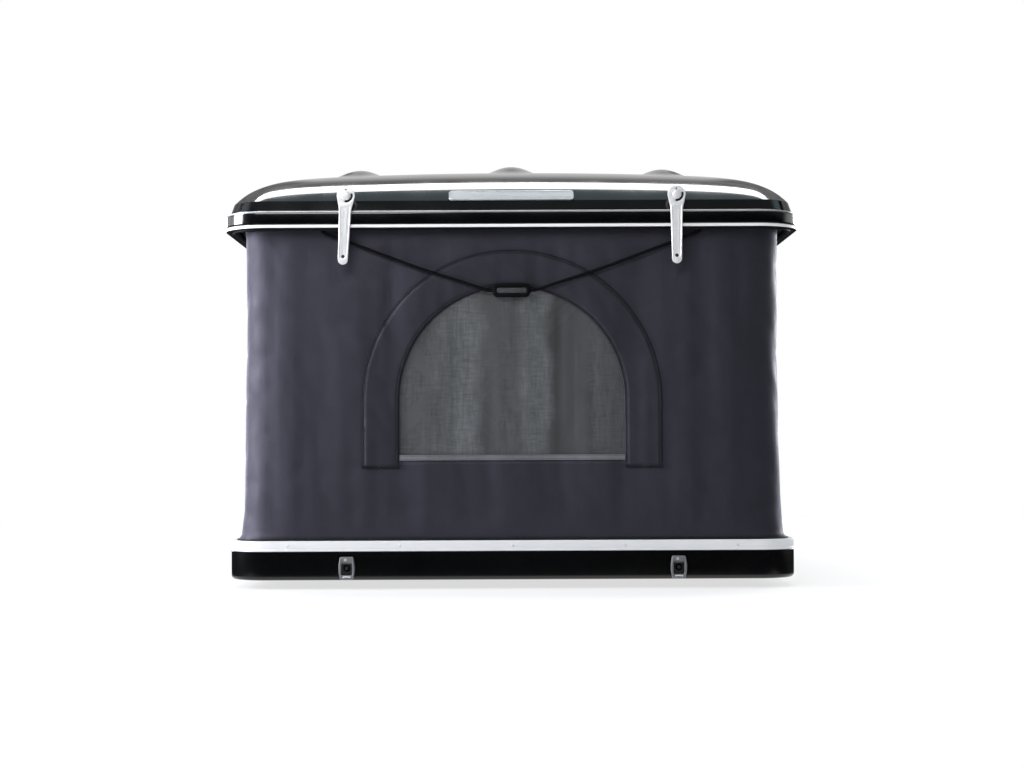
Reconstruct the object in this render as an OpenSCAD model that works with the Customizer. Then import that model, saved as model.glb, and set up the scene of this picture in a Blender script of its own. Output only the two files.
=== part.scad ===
// Pop-up roof tent: two moulded shells, canvas walls and a scissor frame at each end.
// Millimetres. The length runs along Y with the front at negative Y, and Z is up.
// It is drawn raised. Each scissor frame carries the roof shell straight up and down.

/* [Roof shell] */
// Width over the rim
roof_w = 1300; // [1200:10:1500]
// Length over the rim
roof_l = 2100; // [1950:10:2400]
// Corner radius of the rim in plan
rim_r = 100; // [85:1:140]
// Wall thickness of both moulded shells
shell_t = 5; // [4:0.5:6]
// Height of the skirt above the rim
skirt_h = 34; // [30:1:40]
// Step in from the rim to the upright wall
step_in = 19; // [16:1:24]
// Height of the upright wall above the rim
wall_h = 62; // [56:1:72]
// Rise of the dome above the upright wall
dome_rise = 150; // [110:5:180]
// Width of a rib on the dome
rib_w = 108; // [80:1:130]
// Rise of a rib above the dome
rib_rise = 17; // [8:1:24]
// Distance of the outer ribs from the middle rib
rib_pitch = 367; // [300:1:390]
// Distance of a rib's end from the rim
rib_start = 250; // [220:5:320]
// Thickness of the padded lining
liner_t = 6; // [4:1:10]
// Width of the plain plate on the front
badge_w = 280; // [120:5:320]
// Height of the plain plate on the front
badge_h = 30; // [20:1:34]

/* [Roof edge] */
// Height of the bright edge trim
trim_h = 10; // [8:1:14]
// Thickness of the edge trim
trim_t = 4; // [3:0.5:5]
// Depth of the trim's foot under the skirt
trim_foot = 24; // [20:1:26]
// Thickness of the trim's foot
foot_t = 3; // [2:0.5:4]
// Height of the bead on top of the skirt
bead_h = 5.5; // [3:0.5:8]
// Width of the bead
bead_w = 5; // [3:0.5:8]
// Height of the rubber seal under the rim
seal_h = 5; // [4:0.5:8]
// Width of the rubber seal
seal_w = 8; // [5:0.5:9]
// Depth of the canvas frame below its top
frame_t = 12; // [8:1:14]

/* [Base] */
// Overhang of the roof rim past the base
rim_overhang = 14; // [10:1:18]
// Height of the black base shell
base_h = 64; // [58:1:76]
// Height of the bright band on the base shell
band_h = 23; // [18:1:30]
// Depth of the band
band_t = 18; // [15:1:24]
// Edge radius of the base shell's underside
base_edge = 9; // [5:0.5:12]
// Thickness of the floor panel
floor_t = 18; // [12:1:20]
// Thickness of the mattress at its edge
mattress_t = 60; // [40:1:70]
// Crown of the mattress above its edge
mattress_crown = 8; // [4:1:14]
// Distance between rivets on the band
rivet_pitch = 250; // [180:5:300]
// Radius of a rivet head
rivet_r = 3.5; // [2.5:0.5:5]

/* [Mounting rails] */
// Height of a rail
rail_h = 20; // [18:1:30]
// Width of a rail
rail_w = 40; // [30:1:60]
// Wall of a rail
rail_wall = 3; // [2:0.5:4]
// Length of a rail
rail_l = 1380; // [1100:10:1500]
// Distance between the rails' centre lines
rail_spacing = 860; // [700:10:960]
// Distance along a rail between its mounting holes
hole_spacing = 900; // [600:10:1000]
// Radius of a mounting hole
hole_r = 4.5; // [3:0.5:6]

/* [Scissor frames] */
// Distance of the frame's middle plane from the rim
mech_inset = 82; // [80:1:90]
// Distance of a fixed pivot from the rim at the side
arm_inset = 105; // [95:1:130]
// Width of an arm
arm_w = 36; // [30:1:38]
// Thickness of an arm
arm_t = 6; // [4:0.5:7]
// Gap from the middle plane to each arm
arm_gap = 2; // [1.5:0.5:3]
// Height of the lower pivot above the floor panel
pivot_h = 36; // [34:1:40]
// Drop of the upper pivot below the roof's end pads
pivot_drop = 28; // [27:1:34]
// Radius of a pivot pin
pin_r = 6; // [4:0.5:7]
// Radius of a round glide
glide_r = 11; // [9:0.5:12]
// Width of a glide
glide_w = 16; // [12:1:18]
// Wall of the tracks
track_wall = 3; // [2:0.5:4]
// Thickness of the brackets
bracket_t = 4; // [3:0.5:5]
// Distance of both gas strut pins from the arm's pivot
crank_r = 96; // [90:1:97]
// Radius of a gas strut's tube
tube_r = 9; // [7:0.5:10]
// Radius of a gas strut's rod
rod_r = 4; // [3:0.5:5]

/* [Latches] */
// Distance of a latch from the middle
latch_x = 368; // [250:1:420]
// Height of a latch pivot above the rim
latch_h = 71; // [66:1:78]
// Radius of the strap's head
strap_head = 20; // [18:0.5:23]
// Width of the strap at its neck
strap_neck = 27; // [22:0.5:32]
// Width of the strap at its end
strap_end = 22; // [18:0.5:26]
// Thickness of the strap
strap_t = 3; // [2:0.5:4]
// Height of the strap's raised edges
strap_lip = 2; // [1:0.5:3]
// Height of the catch's middle above the underside of the base
catch_h = 27; // [26:1:34]
// Height of a catch
catch_l = 50; // [44:1:52]
// Width of a catch at its ends
catch_w = 32; // [28:1:40]
// Bulge of a catch's sides at mid height
catch_bulge = 3; // [1:0.5:5]
// Depth of a catch
catch_d = 9; // [7:0.5:10]
// Radius of the lock button's body
button_r = 8; // [7:0.5:9]
// Radius of the lock button's nose
nose_r = 3.4; // [2.5:0.1:4]
// Travel of the lock button
button_travel = 10; // [7:0.5:11]

/* [Canvas] */
// Height of canvas between the base and the rim
canvas_h = 697; // [600:1:760]
// Thickness of the canvas
canvas_t = 3; // [2:0.5:4]
// Inset of the canvas from the rim at its foot
canvas_foot = 29; // [27:0.5:31]
// Inset of the canvas from the rim at its head
canvas_head = 35; // [34:0.5:40]
// Depth of the soft folds on the end walls
fold_depth = 3; // [0:0.5:4]
// Distance between folds
fold_pitch = 180; // [120:5:300]
// Radius of the arched window
window_r = 252; // [180:1:300]
// Height of the window's arch centre above the band
window_z = 314; // [260:1:340]
// Straight sides of the window below the arch centre
window_drop = 135; // [60:1:180]
// Thickness of the window net
net_t = 2; // [1:0.5:2.5]
// Width of a doorway
door_w = 960; // [600:10:1200]
// Height of a doorway's sill above the band
sill_h = 70; // [30:1:120]
// Height of a doorway
door_h = 520; // [400:5:540]
// Radius of a doorway's upper corners
door_r = 180; // [60:5:240]
// Radius of a rolled-up door
roll_r = 14; // [10:0.5:15]

/* [Pull cord] */
// Diameter of the cord
cord_d = 7; // [5:0.5:8]
// Width of the handle
handle_w = 82; // [80:1:84]
// Height of the handle
handle_h = 30; // [24:1:36]
// Depth of the handle
handle_d = 12; // [9:0.5:14]
// Thickness of the handle's frame
handle_t = 7; // [5:0.5:8]

/* [Hidden] */
$fn = 64;

// Clearances
run_gap = 0.1;
seat_gap = 0.3;
close_gap = 0.5;
frame_slack = 3;
layer_gap = 2;
pin_past = 2;
cut = 1;

// Heights
base_z = rail_h;
band_z = base_z + base_h;
band_top = band_z + band_h;
rim_z = band_top + canvas_h;
floor_z = base_z + shell_t;
floor_top = floor_z + floor_t;
pad_z = rim_z + wall_h - shell_t;
canvas_top = rim_z + skirt_h - shell_t;
lift = canvas_h - seal_h - close_gap;

// Plan sizes of the base
base_x = roof_w / 2 - rim_overhang;
base_y = roof_l / 2 - rim_overhang;

// Dome: the upright wall leans by wall_lean, and the dome springs from its top
wall_lean = 1;
dome_x = roof_w / 2 - step_in;
dome_y = roof_l / 2 - step_in;
dome_r = rim_r - step_in;
side_run = 73;
end_run = 45;
end_share = 0.4;
end_power = 2.2;
rib_end = roof_l / 2 - rib_start;
rib_ramp = 90;
pad_run = 130;
pad_slope = 20;
pad_y = roof_l / 2 - pad_run;

// Scissor geometry, from the pivots and the closed height
pivot_x = arm_inset - roof_w / 2;
arm_len = roof_w - 2 * arm_inset;
mech_y = roof_l / 2 - mech_inset;
pivot_z = floor_top + pivot_h;
top_pivot_z = pad_z - pivot_drop;
open_angle = asin((top_pivot_z - pivot_z) / arm_len);
closed_angle = asin((top_pivot_z - lift - pivot_z) / arm_len);
open_x = arm_len * cos(open_angle);
closed_x = arm_len * cos(closed_angle);

// Layers of one frame, measured outward from its middle plane
arm_out = arm_gap + arm_t;
glide_in = arm_out + layer_gap;
glide_out = glide_in + glide_w;
glide_room = 1;
track_out = glide_out + glide_room + track_wall;
strut_mid = 20;
cheek_in = strut_mid + tube_r + layer_gap;
cheek_out = cheek_in + bracket_t;
glide_pin_r = pin_r - 1;

// Gas strut: pin, crank and rod make an isosceles triangle about the arm's pivot
strut_pin_r = 4;
strut_foot = -8;
apex_closed = 60;
crank_angle = strut_foot + apex_closed - closed_angle;
apex_open = apex_closed + open_angle - closed_angle;
strut_len = 2 * crank_r * sin(apex_open / 2);
strut_lean = strut_foot + apex_open / 2 + 90;
strut_shut = 2 * crank_r * sin(apex_closed / 2);
eye_r = tube_r;
rod_eye_r = eye_r - 1;
eye_t = 10;
tab_r = 12;
strut_end = 12;
tube_len = strut_shut - strut_end;
rod_len = strut_shut - strut_end;
rod_room = 10;
slot_half = 3;

// Latch: the strap hangs from its pivot and its hole meets the lock button when the tent is shut
latch_z = rim_z + latch_h;
catch_z = base_z + catch_h;
strap_reach = latch_z - lift - catch_z;
strap_tail = 18;
strap_shoulder = 12;
nose_gap = 0.6;
strap_hole = nose_r + nose_gap;
strap_out = 3.6;
strap_y = roof_l / 2 + strap_out;
left_lean = 2.7;
slot_r = 13;
slot_w = 4.4;
slot_from = -78;
slot_to = 8;
guide_r = 1.8;
guide_turn = 10;
post_r = 15;
post_w = 24;
post_gap = 1.5;
post_foot = skirt_h + bead_h + post_gap;
rivet_shank = 5;
rivet_head = 9;
rivet_head_t = 2.5;
lip_w = 3;
catch_floor = 3;
catch_wall = 6;
catch_lip = 12;
screw_r = 3;
screw_t = 1.2;
nose_top = strap_y + strap_t - button_travel;
button_top = base_y + catch_d - button_travel;
button_len = 12;

// Mattress and floor
mattress_gap = 2;
mattress_side = 46;
floor_gap = 16;
floor_room = 13;
floor_end = button_len - catch_d + button_travel + floor_room;
floor_r = 60;

// Rail screws
rail_screw_r = 3;
rail_screw_head = 5;
rail_screw_t = 4;
rail_screw_y = 600;

// Rolled-up doors hang this far below the rim
roll_drop = 79;

// Pull cord, left half; the right half is its mirror image. A point of its route is a place
// across, a distance out from the ferrule and a height above its lower end.
ferrule_r = 5;
ferrule_h = 9;
cord_sides = 10;
cord_out = 6;
cord_y = roof_l / 2 - canvas_head + cord_out;
cord_top = canvas_top - frame_t - ferrule_h;
cord_route = [
    [-425, 0, 0], [-425, 0, -6], [-424, 0, -12], [-420, 1, -17], [-410, 2, -21],
    [-380, 2, -32], [-340, 2, -47], [-300, 3, -62], [-260, 3, -77], [-220, 4, -92],
    [-180, 5, -106], [-140, 6, -119], [-100, 7, -132], [-70, 7, -142], [-55, 7, -147], [-41, 7, -148]
];
cord_end = cord_route[len(cord_route) - 1];
handle_y = cord_y + cord_end[1];
handle_z = cord_top + cord_end[2];

// Colours
black = [0.05, 0.05, 0.06];
alloy = [0.82, 0.83, 0.85];
steel = [0.62, 0.63, 0.65];
cloth = [0.24, 0.24, 0.29];
net = [0.36, 0.37, 0.39];
rubber = [0.10, 0.10, 0.11];
board = [0.55, 0.45, 0.32];
nylon = [0.85, 0.85, 0.82];

ends = ["front", "rear"];
sides = ["left", "right"];

// Plain shapes

function sign_of(a) = a < 0 ? -1 : 1;

// Points of a quarter circle, counter-clockwise from angle a
function corner(cx, cy, r, a, n) = [
    for (i = [0:n]) [cx + r * cos(a + 90 * i / n), cy + r * sin(a + 90 * i / n)]
];

// Counter-clockwise outline of a rounded rectangle at height z
function outline(hx, hy, r, z, n) = [
    for (p = concat(
        corner(hx - r, r - hy, r, -90, n), corner(hx - r, hy - r, r, 0, n),
        corner(r - hx, hy - r, r, 90, n), corner(r - hx, r - hy, r, 180, n)
    )) [p[0], p[1], z]
];

// Solid through a stack of outlines that have the same number of points
module loft(rings) {
    n = len(rings[0]);
    top = len(rings) - 1;
    polyhedron(
        [for (ring = rings) each ring],
        concat(
            [[for (i = [0:n - 1]) i]],
            [for (k = [0:top - 1], i = [0:n - 1]) each wall_pair(k * n, (k + 1) * n, i, n)],
            [[for (i = [n - 1:-1:0]) top * n + i]]
        )
    );
}

// Closed tube through outlines that run round a section and meet themselves
module loft_loop(rings) {
    n = len(rings[0]);
    m = len(rings);
    polyhedron(
        [for (ring = rings) each ring],
        [for (k = [0:m - 1], i = [0:n - 1]) each wall_pair(k * n, ((k + 1) % m) * n, i, n)]
    );
}

// Two triangles between a lower and an upper ring
function wall_pair(low, high, i, n) = let (j = (i + 1) % n)
    [[low + i, high + i, high + j], [low + i, high + j, low + j]];

// Values from one number to another, closer together at the start
function spread(from, to, n, power) = [
    for (i = [0:n]) from + (to - from) * pow(i / n, power)
];

// A descending half list mirrored about zero, in rising order
function both_ways(half) = let (n = len(half)) concat(
    [for (v = half) -v],
    [for (i = [n - 2:-1:0]) half[i]]
);

// Row and column of the k-th point round the edge of a grid
function edge_cell(k, rows, cols) =
    k < cols - 1 ? [0, k] :
    k < cols + rows - 2 ? [k - cols + 1, cols - 1] :
    k < 2 * cols + rows - 3 ? [rows - 1, 2 * cols + rows - 3 - k] :
    [2 * (cols + rows) - 4 - k, 0];

function edge_index(k, rows, cols) = let (c = edge_cell(k, rows, cols)) c[0] * cols + c[1];

function grid_faces(rows, cols) = [
    for (i = [0:rows - 2], j = [0:cols - 2]) each
    let (a = i * cols + j, d = a + cols) [[a, d, d + 1], [a, d + 1, a + 1]]
];

// Slab between two height functions over a rectangular grid
module height_slab(xs, ys, low, high) {
    cols = len(xs);
    rows = len(ys);
    count = rows * cols;
    edge = 2 * (rows + cols) - 4;
    polyhedron(
        concat(
            [for (y = ys, x = xs) [x, y, high(x, y)]],
            [for (y = ys, x = xs) [x, y, low(x, y)]]
        ),
        concat(
            grid_faces(rows, cols),
            [for (f = grid_faces(rows, cols)) [f[0] + count, f[2] + count, f[1] + count]],
            [for (k = [0:edge - 1]) each let (
                a = edge_index(k, rows, cols),
                b = edge_index((k + 1) % edge, rows, cols)
            ) [[a + count, a, b], [a + count, b, b + count]]]
        )
    );
}

// Round-cornered rectangle with true arcs
module rounded(w, l, r) {
    square([w - 2 * r, l], center = true);
    square([w, l - 2 * r], center = true);
    for (sx = [-1, 1], sy = [-1, 1])
        translate([sx * (w / 2 - r), sy * (l / 2 - r)])
            circle(r);
}

// Plan of the tent, moved in from the rim
module plan(inset) {
    rounded(roof_w - 2 * inset, roof_l - 2 * inset, rim_r - inset);
}

// Ring round the tent between two insets
module ring(outer, inner, z, h) {
    translate([0, 0, z])
        linear_extrude(h)
            difference() {
                plan(outer);
                plan(inner);
            }
}

// Upright plate drawn in X and Z, from y0 to y0 + t
module upright(y0, t) {
    translate([0, y0 + t, 0])
        rotate([90, 0, 0])
            linear_extrude(t)
                children();
}

// Round bar along Y
module bar_y(r, y0, y1) {
    translate([0, y0, 0])
        rotate([-90, 0, 0])
            cylinder(r = r, h = y1 - y0);
}

// Roof dome

function side_rise(x) = 1 - exp((abs(x) - dome_x) / side_run);

function end_rise(y) = end_share * (1 - exp((abs(y) - dome_y) / end_run))
    + (1 - end_share) * (1 - pow(abs(y) / dome_y, end_power));

function dome(x, y) = wall_h + dome_rise * side_rise(x) * end_rise(y);

function rib_bump(x) = let (t = min([for (c = [-1, 0, 1]) abs(x - c * rib_pitch)]) / (rib_w / 2))
    t < 1 ? (1 + cos(180 * t)) / 2 : 0;

function rib_fade(y) = let (t = max(0, min(1, (rib_end - abs(y)) / rib_ramp))) t * t * (3 - 2 * t);

function roof_top(x, y) = dome(x, y) + rib_rise * rib_bump(x) * rib_fade(y);

// Inside of the dome, set in by the wall's thickness, and flat over the end pads
function roof_under(x, y) = abs(y) > pad_y - pad_slope / 2 ? pad_z
    : rim_z + dome(abs(x) + shell_t, abs(y)) - shell_t;

// Half width of the dome's foot at some inset, which rounds off at the corners
function dome_half(y, inset) = let (r = dome_r - inset, t = y - dome_y + dome_r)
    dome_x - dome_r + (t <= 0 ? r : sqrt(max(0, r * r - t * t)));

// Columns and rows of the outside, closer together near the foot of the dome
side_band = dome_x - rib_pitch - rib_w;
side_steps = 5;
side_ease = 1.5;
end_steps = 8;
end_ease = 1.4;
rib_steps = 4;
ramp_steps = 3;
roof_xs = both_ways(concat(
    spread(dome_x, dome_x - side_band, side_steps, side_ease),
    [for (j = [0:rib_steps]) rib_pitch + rib_w / 2 - rib_w * j / rib_steps],
    [rib_pitch / 2],
    [for (j = [0:rib_steps / 2]) rib_w / 2 - rib_w * j / rib_steps]
));
roof_ys = both_ways(concat(
    spread(dome_y, rib_end, end_steps, end_ease),
    [for (j = [1:ramp_steps]) rib_end - rib_ramp * j / ramp_steps],
    [for (j = [1:ramp_steps]) (rib_end - rib_ramp) * (1 - j / ramp_steps)]
));

// The inside has as many rows and columns, with flat pads at both ends
under_x = dome_x - shell_t;
under_y = dome_y - shell_t;
pad_steps = 6;
under_ease = 1.2;
under_xs = both_ways(spread(under_x, 0, (len(roof_xs) - 1) / 2, side_ease));
under_ys = both_ways(concat(
    spread(under_y, pad_y, pad_steps, end_ease),
    spread(pad_y - pad_slope, 0, (len(roof_ys) - 1) / 2 - pad_steps - 1, under_ease)
));

function tail_of(list, from) = [for (i = [from:len(list) - 1 - from]) list[i]];

// Outward direction at a point on the dome's foot
function foot_normal(p) = let (
    nx = sign_of(p[0]) * max(0, abs(p[0]) - dome_x + dome_r),
    ny = sign_of(p[1]) * max(0, abs(p[1]) - dome_y + dome_r),
    v = [nx, ny]
) v / norm(v);

// Grid of points under a height function, drawn in at the rounded corners
function roof_grid(xs, ys, inset, high) = [
    for (y = ys, x = xs) let (wx = x * (dome_half(abs(y), inset)) / (dome_x - inset))
    [wx, y, high(wx, y)]
];

// Shell in one skin: inside dome, inside wall, skirt, ledge, upright wall and outside dome
module roof_shell() {
    cols = len(roof_xs);
    rows = len(roof_ys);
    count = rows * cols;
    edge = 2 * (rows + cols) - 4;
    outside = roof_grid(roof_xs, roof_ys, 0, function (x, y) rim_z + roof_top(x, y));
    inside = roof_grid(under_xs, under_ys, shell_t, function (x, y) roof_under(x, y));
    ledge = step_in - trim_t;
    steps = [
        [inside, 0, skirt_h - shell_t], [inside, ledge, skirt_h - shell_t], [inside, ledge, foot_t],
        [outside, ledge, foot_t], [outside, ledge, skirt_h], [outside, wall_lean, skirt_h]
    ];
    loops = [
        for (s = steps, k = [0:edge - 1]) let (
            p = s[0][edge_index(k, rows, cols)],
            n = foot_normal(p)
        ) [p[0] + n[0] * s[1], p[1] + n[1] * s[1], rim_z + s[2]]
    ];
    first = 2 * count;
    last = first + (len(steps) - 1) * edge;
    color(black)
        polyhedron(
            concat(outside, inside, loops),
            concat(
                grid_faces(rows, cols),
                [for (f = grid_faces(rows, cols)) [f[0] + count, f[2] + count, f[1] + count]],
                [for (s = [0:len(steps) - 2], k = [0:edge - 1]) each
                    wall_pair(first + s * edge, first + (s + 1) * edge, k, edge)],
                [for (k = [0:edge - 1]) each let (
                    j = (k + 1) % edge,
                    a = edge_index(k, rows, cols),
                    b = edge_index(j, rows, cols)
                ) [
                    [last + k, a, b], [last + k, b, last + j],
                    [count + a, first + k, first + j], [count + a, first + j, count + b]
                ]]
            )
        );
}

module roof_trim() {
    color(alloy)
        union() {
            ring(0, trim_t, rim_z, trim_h);
            ring(0, trim_foot, rim_z, foot_t);
        }
}

module roof_bead() {
    color(alloy)
        ring(trim_t, trim_t + bead_w, rim_z + skirt_h, bead_h);
}

seal_edge = trim_foot - 1;

module rim_seal() {
    color(rubber)
        ring(seal_edge - seal_w, seal_edge, rim_z - seal_h, seal_h);
}

module canvas_frame() {
    color(alloy)
        ring(trim_t + shell_t + frame_slack, canvas_head - seat_gap, canvas_top - frame_t, frame_t);
}

// The lining stops one column short of the sides and short of the end pads
liner_cols = 1;
liner_rows = pad_steps + 2;

module roof_liner() {
    color(cloth)
        height_slab(
            tail_of(under_xs, liner_cols), tail_of(under_ys, liner_rows),
            function (x, y) roof_under(x, y) - seat_gap - liner_t,
            function (x, y) roof_under(x, y) - seat_gap
        );
}

// Plain plate that lies on the slope of the front face
badge_in = 8;
badge_t = 2.5;
badge_y = dome_y - badge_in;
badge_slope = atan(dome(0, badge_y - 1) - dome(0, badge_y));
badge_lift = seat_gap + badge_t / 2;

module badge_plate() {
    color(steel)
        translate([0, -badge_y, rim_z + dome(0, badge_y)])
            rotate([badge_slope, 0, 0])
                translate([0, 0, badge_lift])
                    linear_extrude(badge_t, center = true)
                        rounded(badge_w, badge_h, badge_h / 4);
}

// Base

module base_shell() {
    corner_steps = 12;
    bend_step = 30;
    r = rim_r - rim_overhang;
    bends = [for (a = [0:bend_step:90]) [base_edge * (1 - sin(a)), base_edge * (1 - cos(a))]];
    color(black)
        difference() {
            loft(concat(
                [for (b = bends)
                    outline(base_x - b[0], base_y - b[0], r - b[0], base_z + b[1], corner_steps)],
                [outline(base_x, base_y, r, band_z, corner_steps)]
            ));
            translate([0, 0, floor_z])
                linear_extrude(base_h)
                    plan(rim_overhang + shell_t);
            at_latches()
                translate([0, -base_y - cut, catch_z])
                    bar_y(button_r + seat_gap, 0, shell_t + 2 * cut);
            at_rail_screws()
                translate([0, 0, base_z - cut])
                    cylinder(r = rail_screw_r + run_gap, h = shell_t + 2 * cut);
        }
}

module base_band() {
    color(alloy)
        ring(rim_overhang, rim_overhang + band_t, band_z, band_h);
}

module band_rivets() {
    across = floor((base_x - rim_r) / rivet_pitch);
    along = floor((base_y - rim_r) / rivet_pitch);
    color(steel)
        translate([0, 0, band_z + band_h / 2])
            for (s = [0, 180])
                rotate([0, 0, s]) {
                    for (i = [-across:across])
                        translate([i * rivet_pitch, -base_y, 0])
                            bar_y(rivet_r, -screw_t, 0);
                    for (i = [-along:along])
                        rotate([0, 0, 90])
                            translate([i * rivet_pitch, -base_x, 0])
                                bar_y(rivet_r, -screw_t, 0);
                }
}

module floor_panel() {
    color(board)
        difference() {
            translate([0, 0, floor_z])
                linear_extrude(floor_t)
                    rounded(2 * (base_x - floor_gap), 2 * (base_y - floor_end), floor_r);
            at_rail_screws()
                translate([0, 0, floor_z - cut])
                    cylinder(r = rail_screw_r + run_gap, h = floor_t / 2 + cut);
        }
}

// Foam mattress with soft edges, drawn-in sides and a low crown
module mattress() {
    hx = base_x - mattress_side;
    hy = mech_y - cheek_out - mattress_gap;
    r = 45;
    soft = 14;
    waist = 5;
    corner_steps = 6;
    steps = [
        [soft, 0], [soft / 4, soft / 4], [0, soft], [waist, mattress_t / 2],
        [0, mattress_t - soft], [soft / 4, mattress_t - soft / 4], [soft, mattress_t]
    ];
    crowns = [[40, 0.45], [110, 0.75], [240, 0.95], [400, 1]];
    color(cloth)
        loft(concat(
            [for (s = steps)
                outline(hx - s[0], hy - s[0], r - s[0], floor_top + s[1], corner_steps)],
            [for (c = crowns)
                outline(
                    hx - c[0], hy - c[0], r / 2,
                    floor_top + mattress_t + mattress_crown * c[1], corner_steps
                )]
        ));
}

// Mounting rails and their screws

module at_rail_screws() {
    for (sx = [-1, 1], y = [-rail_screw_y, 0, rail_screw_y])
        translate([sx * rail_spacing / 2, y, 0])
            children();
}

module mount_rail(sx) {
    color(alloy)
        difference() {
            translate([sx * rail_spacing / 2, 0, rail_h / 2])
                rotate([90, 0, 0])
                    linear_extrude(rail_l, center = true)
                        difference() {
                            square([rail_w, rail_h], center = true);
                            square([rail_w - 2 * rail_wall, rail_h - 2 * rail_wall], center = true);
                        }
            for (sy = [-1, 1])
                translate([sx * rail_spacing / 2, sy * hole_spacing / 2, -cut])
                    cylinder(r = hole_r, h = rail_wall + 2 * cut);
            at_rail_screws()
                translate([0, 0, rail_h / 2])
                    cylinder(r = rail_screw_r + run_gap, h = rail_h);
        }
}

module rail_screws() {
    head_z = rail_h - rail_wall - rail_screw_t;
    color(steel)
        at_rail_screws()
            translate([0, 0, head_z]) {
                cylinder(r = rail_screw_head, h = rail_screw_t);
                cylinder(r = rail_screw_r, h = floor_z + floor_t / 3 - head_z);
            }
}

// Canvas

function canvas_inset(z) = canvas_foot
    + (canvas_head - canvas_foot) * (z - band_top) / (canvas_top - band_top);

function fold(x, z, half) = let (t = (z - band_top) / (canvas_top - band_top))
    fold_depth * sin(180 * t) * cos(360 * x / fold_pitch) * (1 - pow(abs(x) / half, 4));

// Outline of the canvas at one height, with folds along both ends
fold_steps = 40;
canvas_corner = 6;

function canvas_ring(z, depth) = let (
    r = rim_r - canvas_inset(z) - depth,
    hx = roof_w / 2 - rim_r,
    hy = roof_l / 2 - rim_r,
    y = hy + r,
    run = [for (i = [1:fold_steps - 1]) hx * (2 * i / fold_steps - 1)]
) [
    for (p = concat(
        [for (x = run) [x, -y - fold(x, z, hx)]],
        corner(hx, -hy, r, -90, canvas_corner), corner(hx, hy, r, 0, canvas_corner),
        [for (x = run) [-x, y + fold(x, z, hx)]],
        corner(-hx, hy, r, 90, canvas_corner), corner(-hx, -hy, r, 180, canvas_corner)
    )) [p[0], p[1], z]
];

module window_shape(clear) {
    r = window_r - clear;
    translate([0, band_top + window_z]) {
        intersection() {
            circle(r);
            translate([-r, 0])
                square([2 * r, r]);
        }
        translate([-r, clear - window_drop])
            square([2 * r, window_drop - clear]);
    }
}

module door_shape() {
    half = door_w / 2;
    straight = door_h - door_r;
    translate([0, band_top + sill_h]) {
        translate([-half, 0])
            square([door_w, straight]);
        translate([door_r - half, 0])
            square([door_w - 2 * door_r, door_h]);
        for (s = [-1, 1])
            translate([s * (half - door_r), straight])
                circle(door_r);
    }
}

module canvas() {
    steps = 4;
    levels = [for (k = [0:steps]) band_top + (canvas_top - band_top) * k / steps];
    deep = 60;
    color(cloth)
        difference() {
            loft_loop(concat(
                [for (z = levels) canvas_ring(z, 0)],
                [for (k = [steps:-1:0]) canvas_ring(levels[k], canvas_t)]
            ));
            for (s = [-1, 1])
                upright(s * (roof_l / 2 - canvas_head) - deep / 2, deep)
                    window_shape(0);
            for (s = [-1, 1])
                rotate([0, 0, 90])
                    upright(s * (roof_w / 2 - canvas_head) - deep / 2, deep)
                        door_shape();
        }
}

module window_nets() {
    inset = canvas_inset(band_top + window_z) + (canvas_t - net_t) / 2;
    color(net)
        for (s = [0, 180])
            rotate([0, 0, s])
                upright(inset - roof_l / 2, net_t)
                    window_shape(run_gap + seat_gap);
}

// Door panels rolled up and tied above their doorways
module door_rolls() {
    z = rim_z - roll_drop;
    x = roof_w / 2 - canvas_inset(z - roll_r) + seat_gap + roll_r;
    color(cloth)
        for (s = [-1, 1])
            translate([s * x, 0, z])
                bar_y(roll_r, -door_w / 2, door_w / 2);
}

// Scissor frame. One half is drawn about its own pivot: the arm runs along X, the outside of
// the frame is at negative Y, and the surface that carries the bracket is below.

module at_end(name) {
    if (name == "front")
        children();
    else
        mirror([0, 1, 0])
            children();
}

// Lower half of a frame
module lower(name) {
    at_end(name)
        translate([pivot_x, -mech_y, pivot_z])
            children();
}

// Upper half of a frame: the same half turned over
module upper(name) {
    at_end(name)
        translate([pivot_x, -mech_y, top_pivot_z])
            rotate([180, 0, 0])
                children();
}

// Moves its children to a point at radius r and angle a about the pivot
module polar(r, a) {
    translate([r * cos(a), 0, r * sin(a)])
        children();
}

module bracket(reach) {
    edge = 24;
    top = 15;
    past = 16;
    foot_x = crank_r + past;
    plate = 10;
    color(steel)
        union() {
            upright(-cheek_out, bracket_t)
                translate([-edge, -reach])
                    square([edge + foot_x, reach + top]);
            translate([-edge, -cheek_out, -reach])
                cube([edge + foot_x, cheek_out - plate, bracket_t]);
            bar_y(2 * pin_r, -cheek_in - cut, -arm_out - seat_gap);
            bar_y(pin_r, -cheek_in - cut, -seat_gap);
            polar(crank_r, strut_foot)
                bar_y(strut_pin_r, -cheek_in - cut, -strut_mid + eye_t / 2 + pin_past);
        }
}

// Channel that guides the far end of the other arm
module track(reach) {
    wall = track_wall;
    half = glide_r + seat_gap;
    room = track_out - wall;
    foot_w = 18;
    past = 26;
    x0 = open_x - past - glide_r;
    x1 = closed_x + past;
    color(alloy)
        translate([x0, 0, 0])
            rotate([90, 0, 90])
                linear_extrude(x1 - x0)
                    union() {
                        translate([room, -reach])
                            square([wall, reach + half + wall]);
                        for (z = [half, -half - wall])
                            translate([glide_in - seat_gap, z])
                                square([track_out - glide_in + seat_gap, wall]);
                        translate([track_out - foot_w, -reach])
                            square([foot_w, wall]);
                    }
}

module turned() {
    rotate([0, -open_angle, 0])
        children();
}

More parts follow.
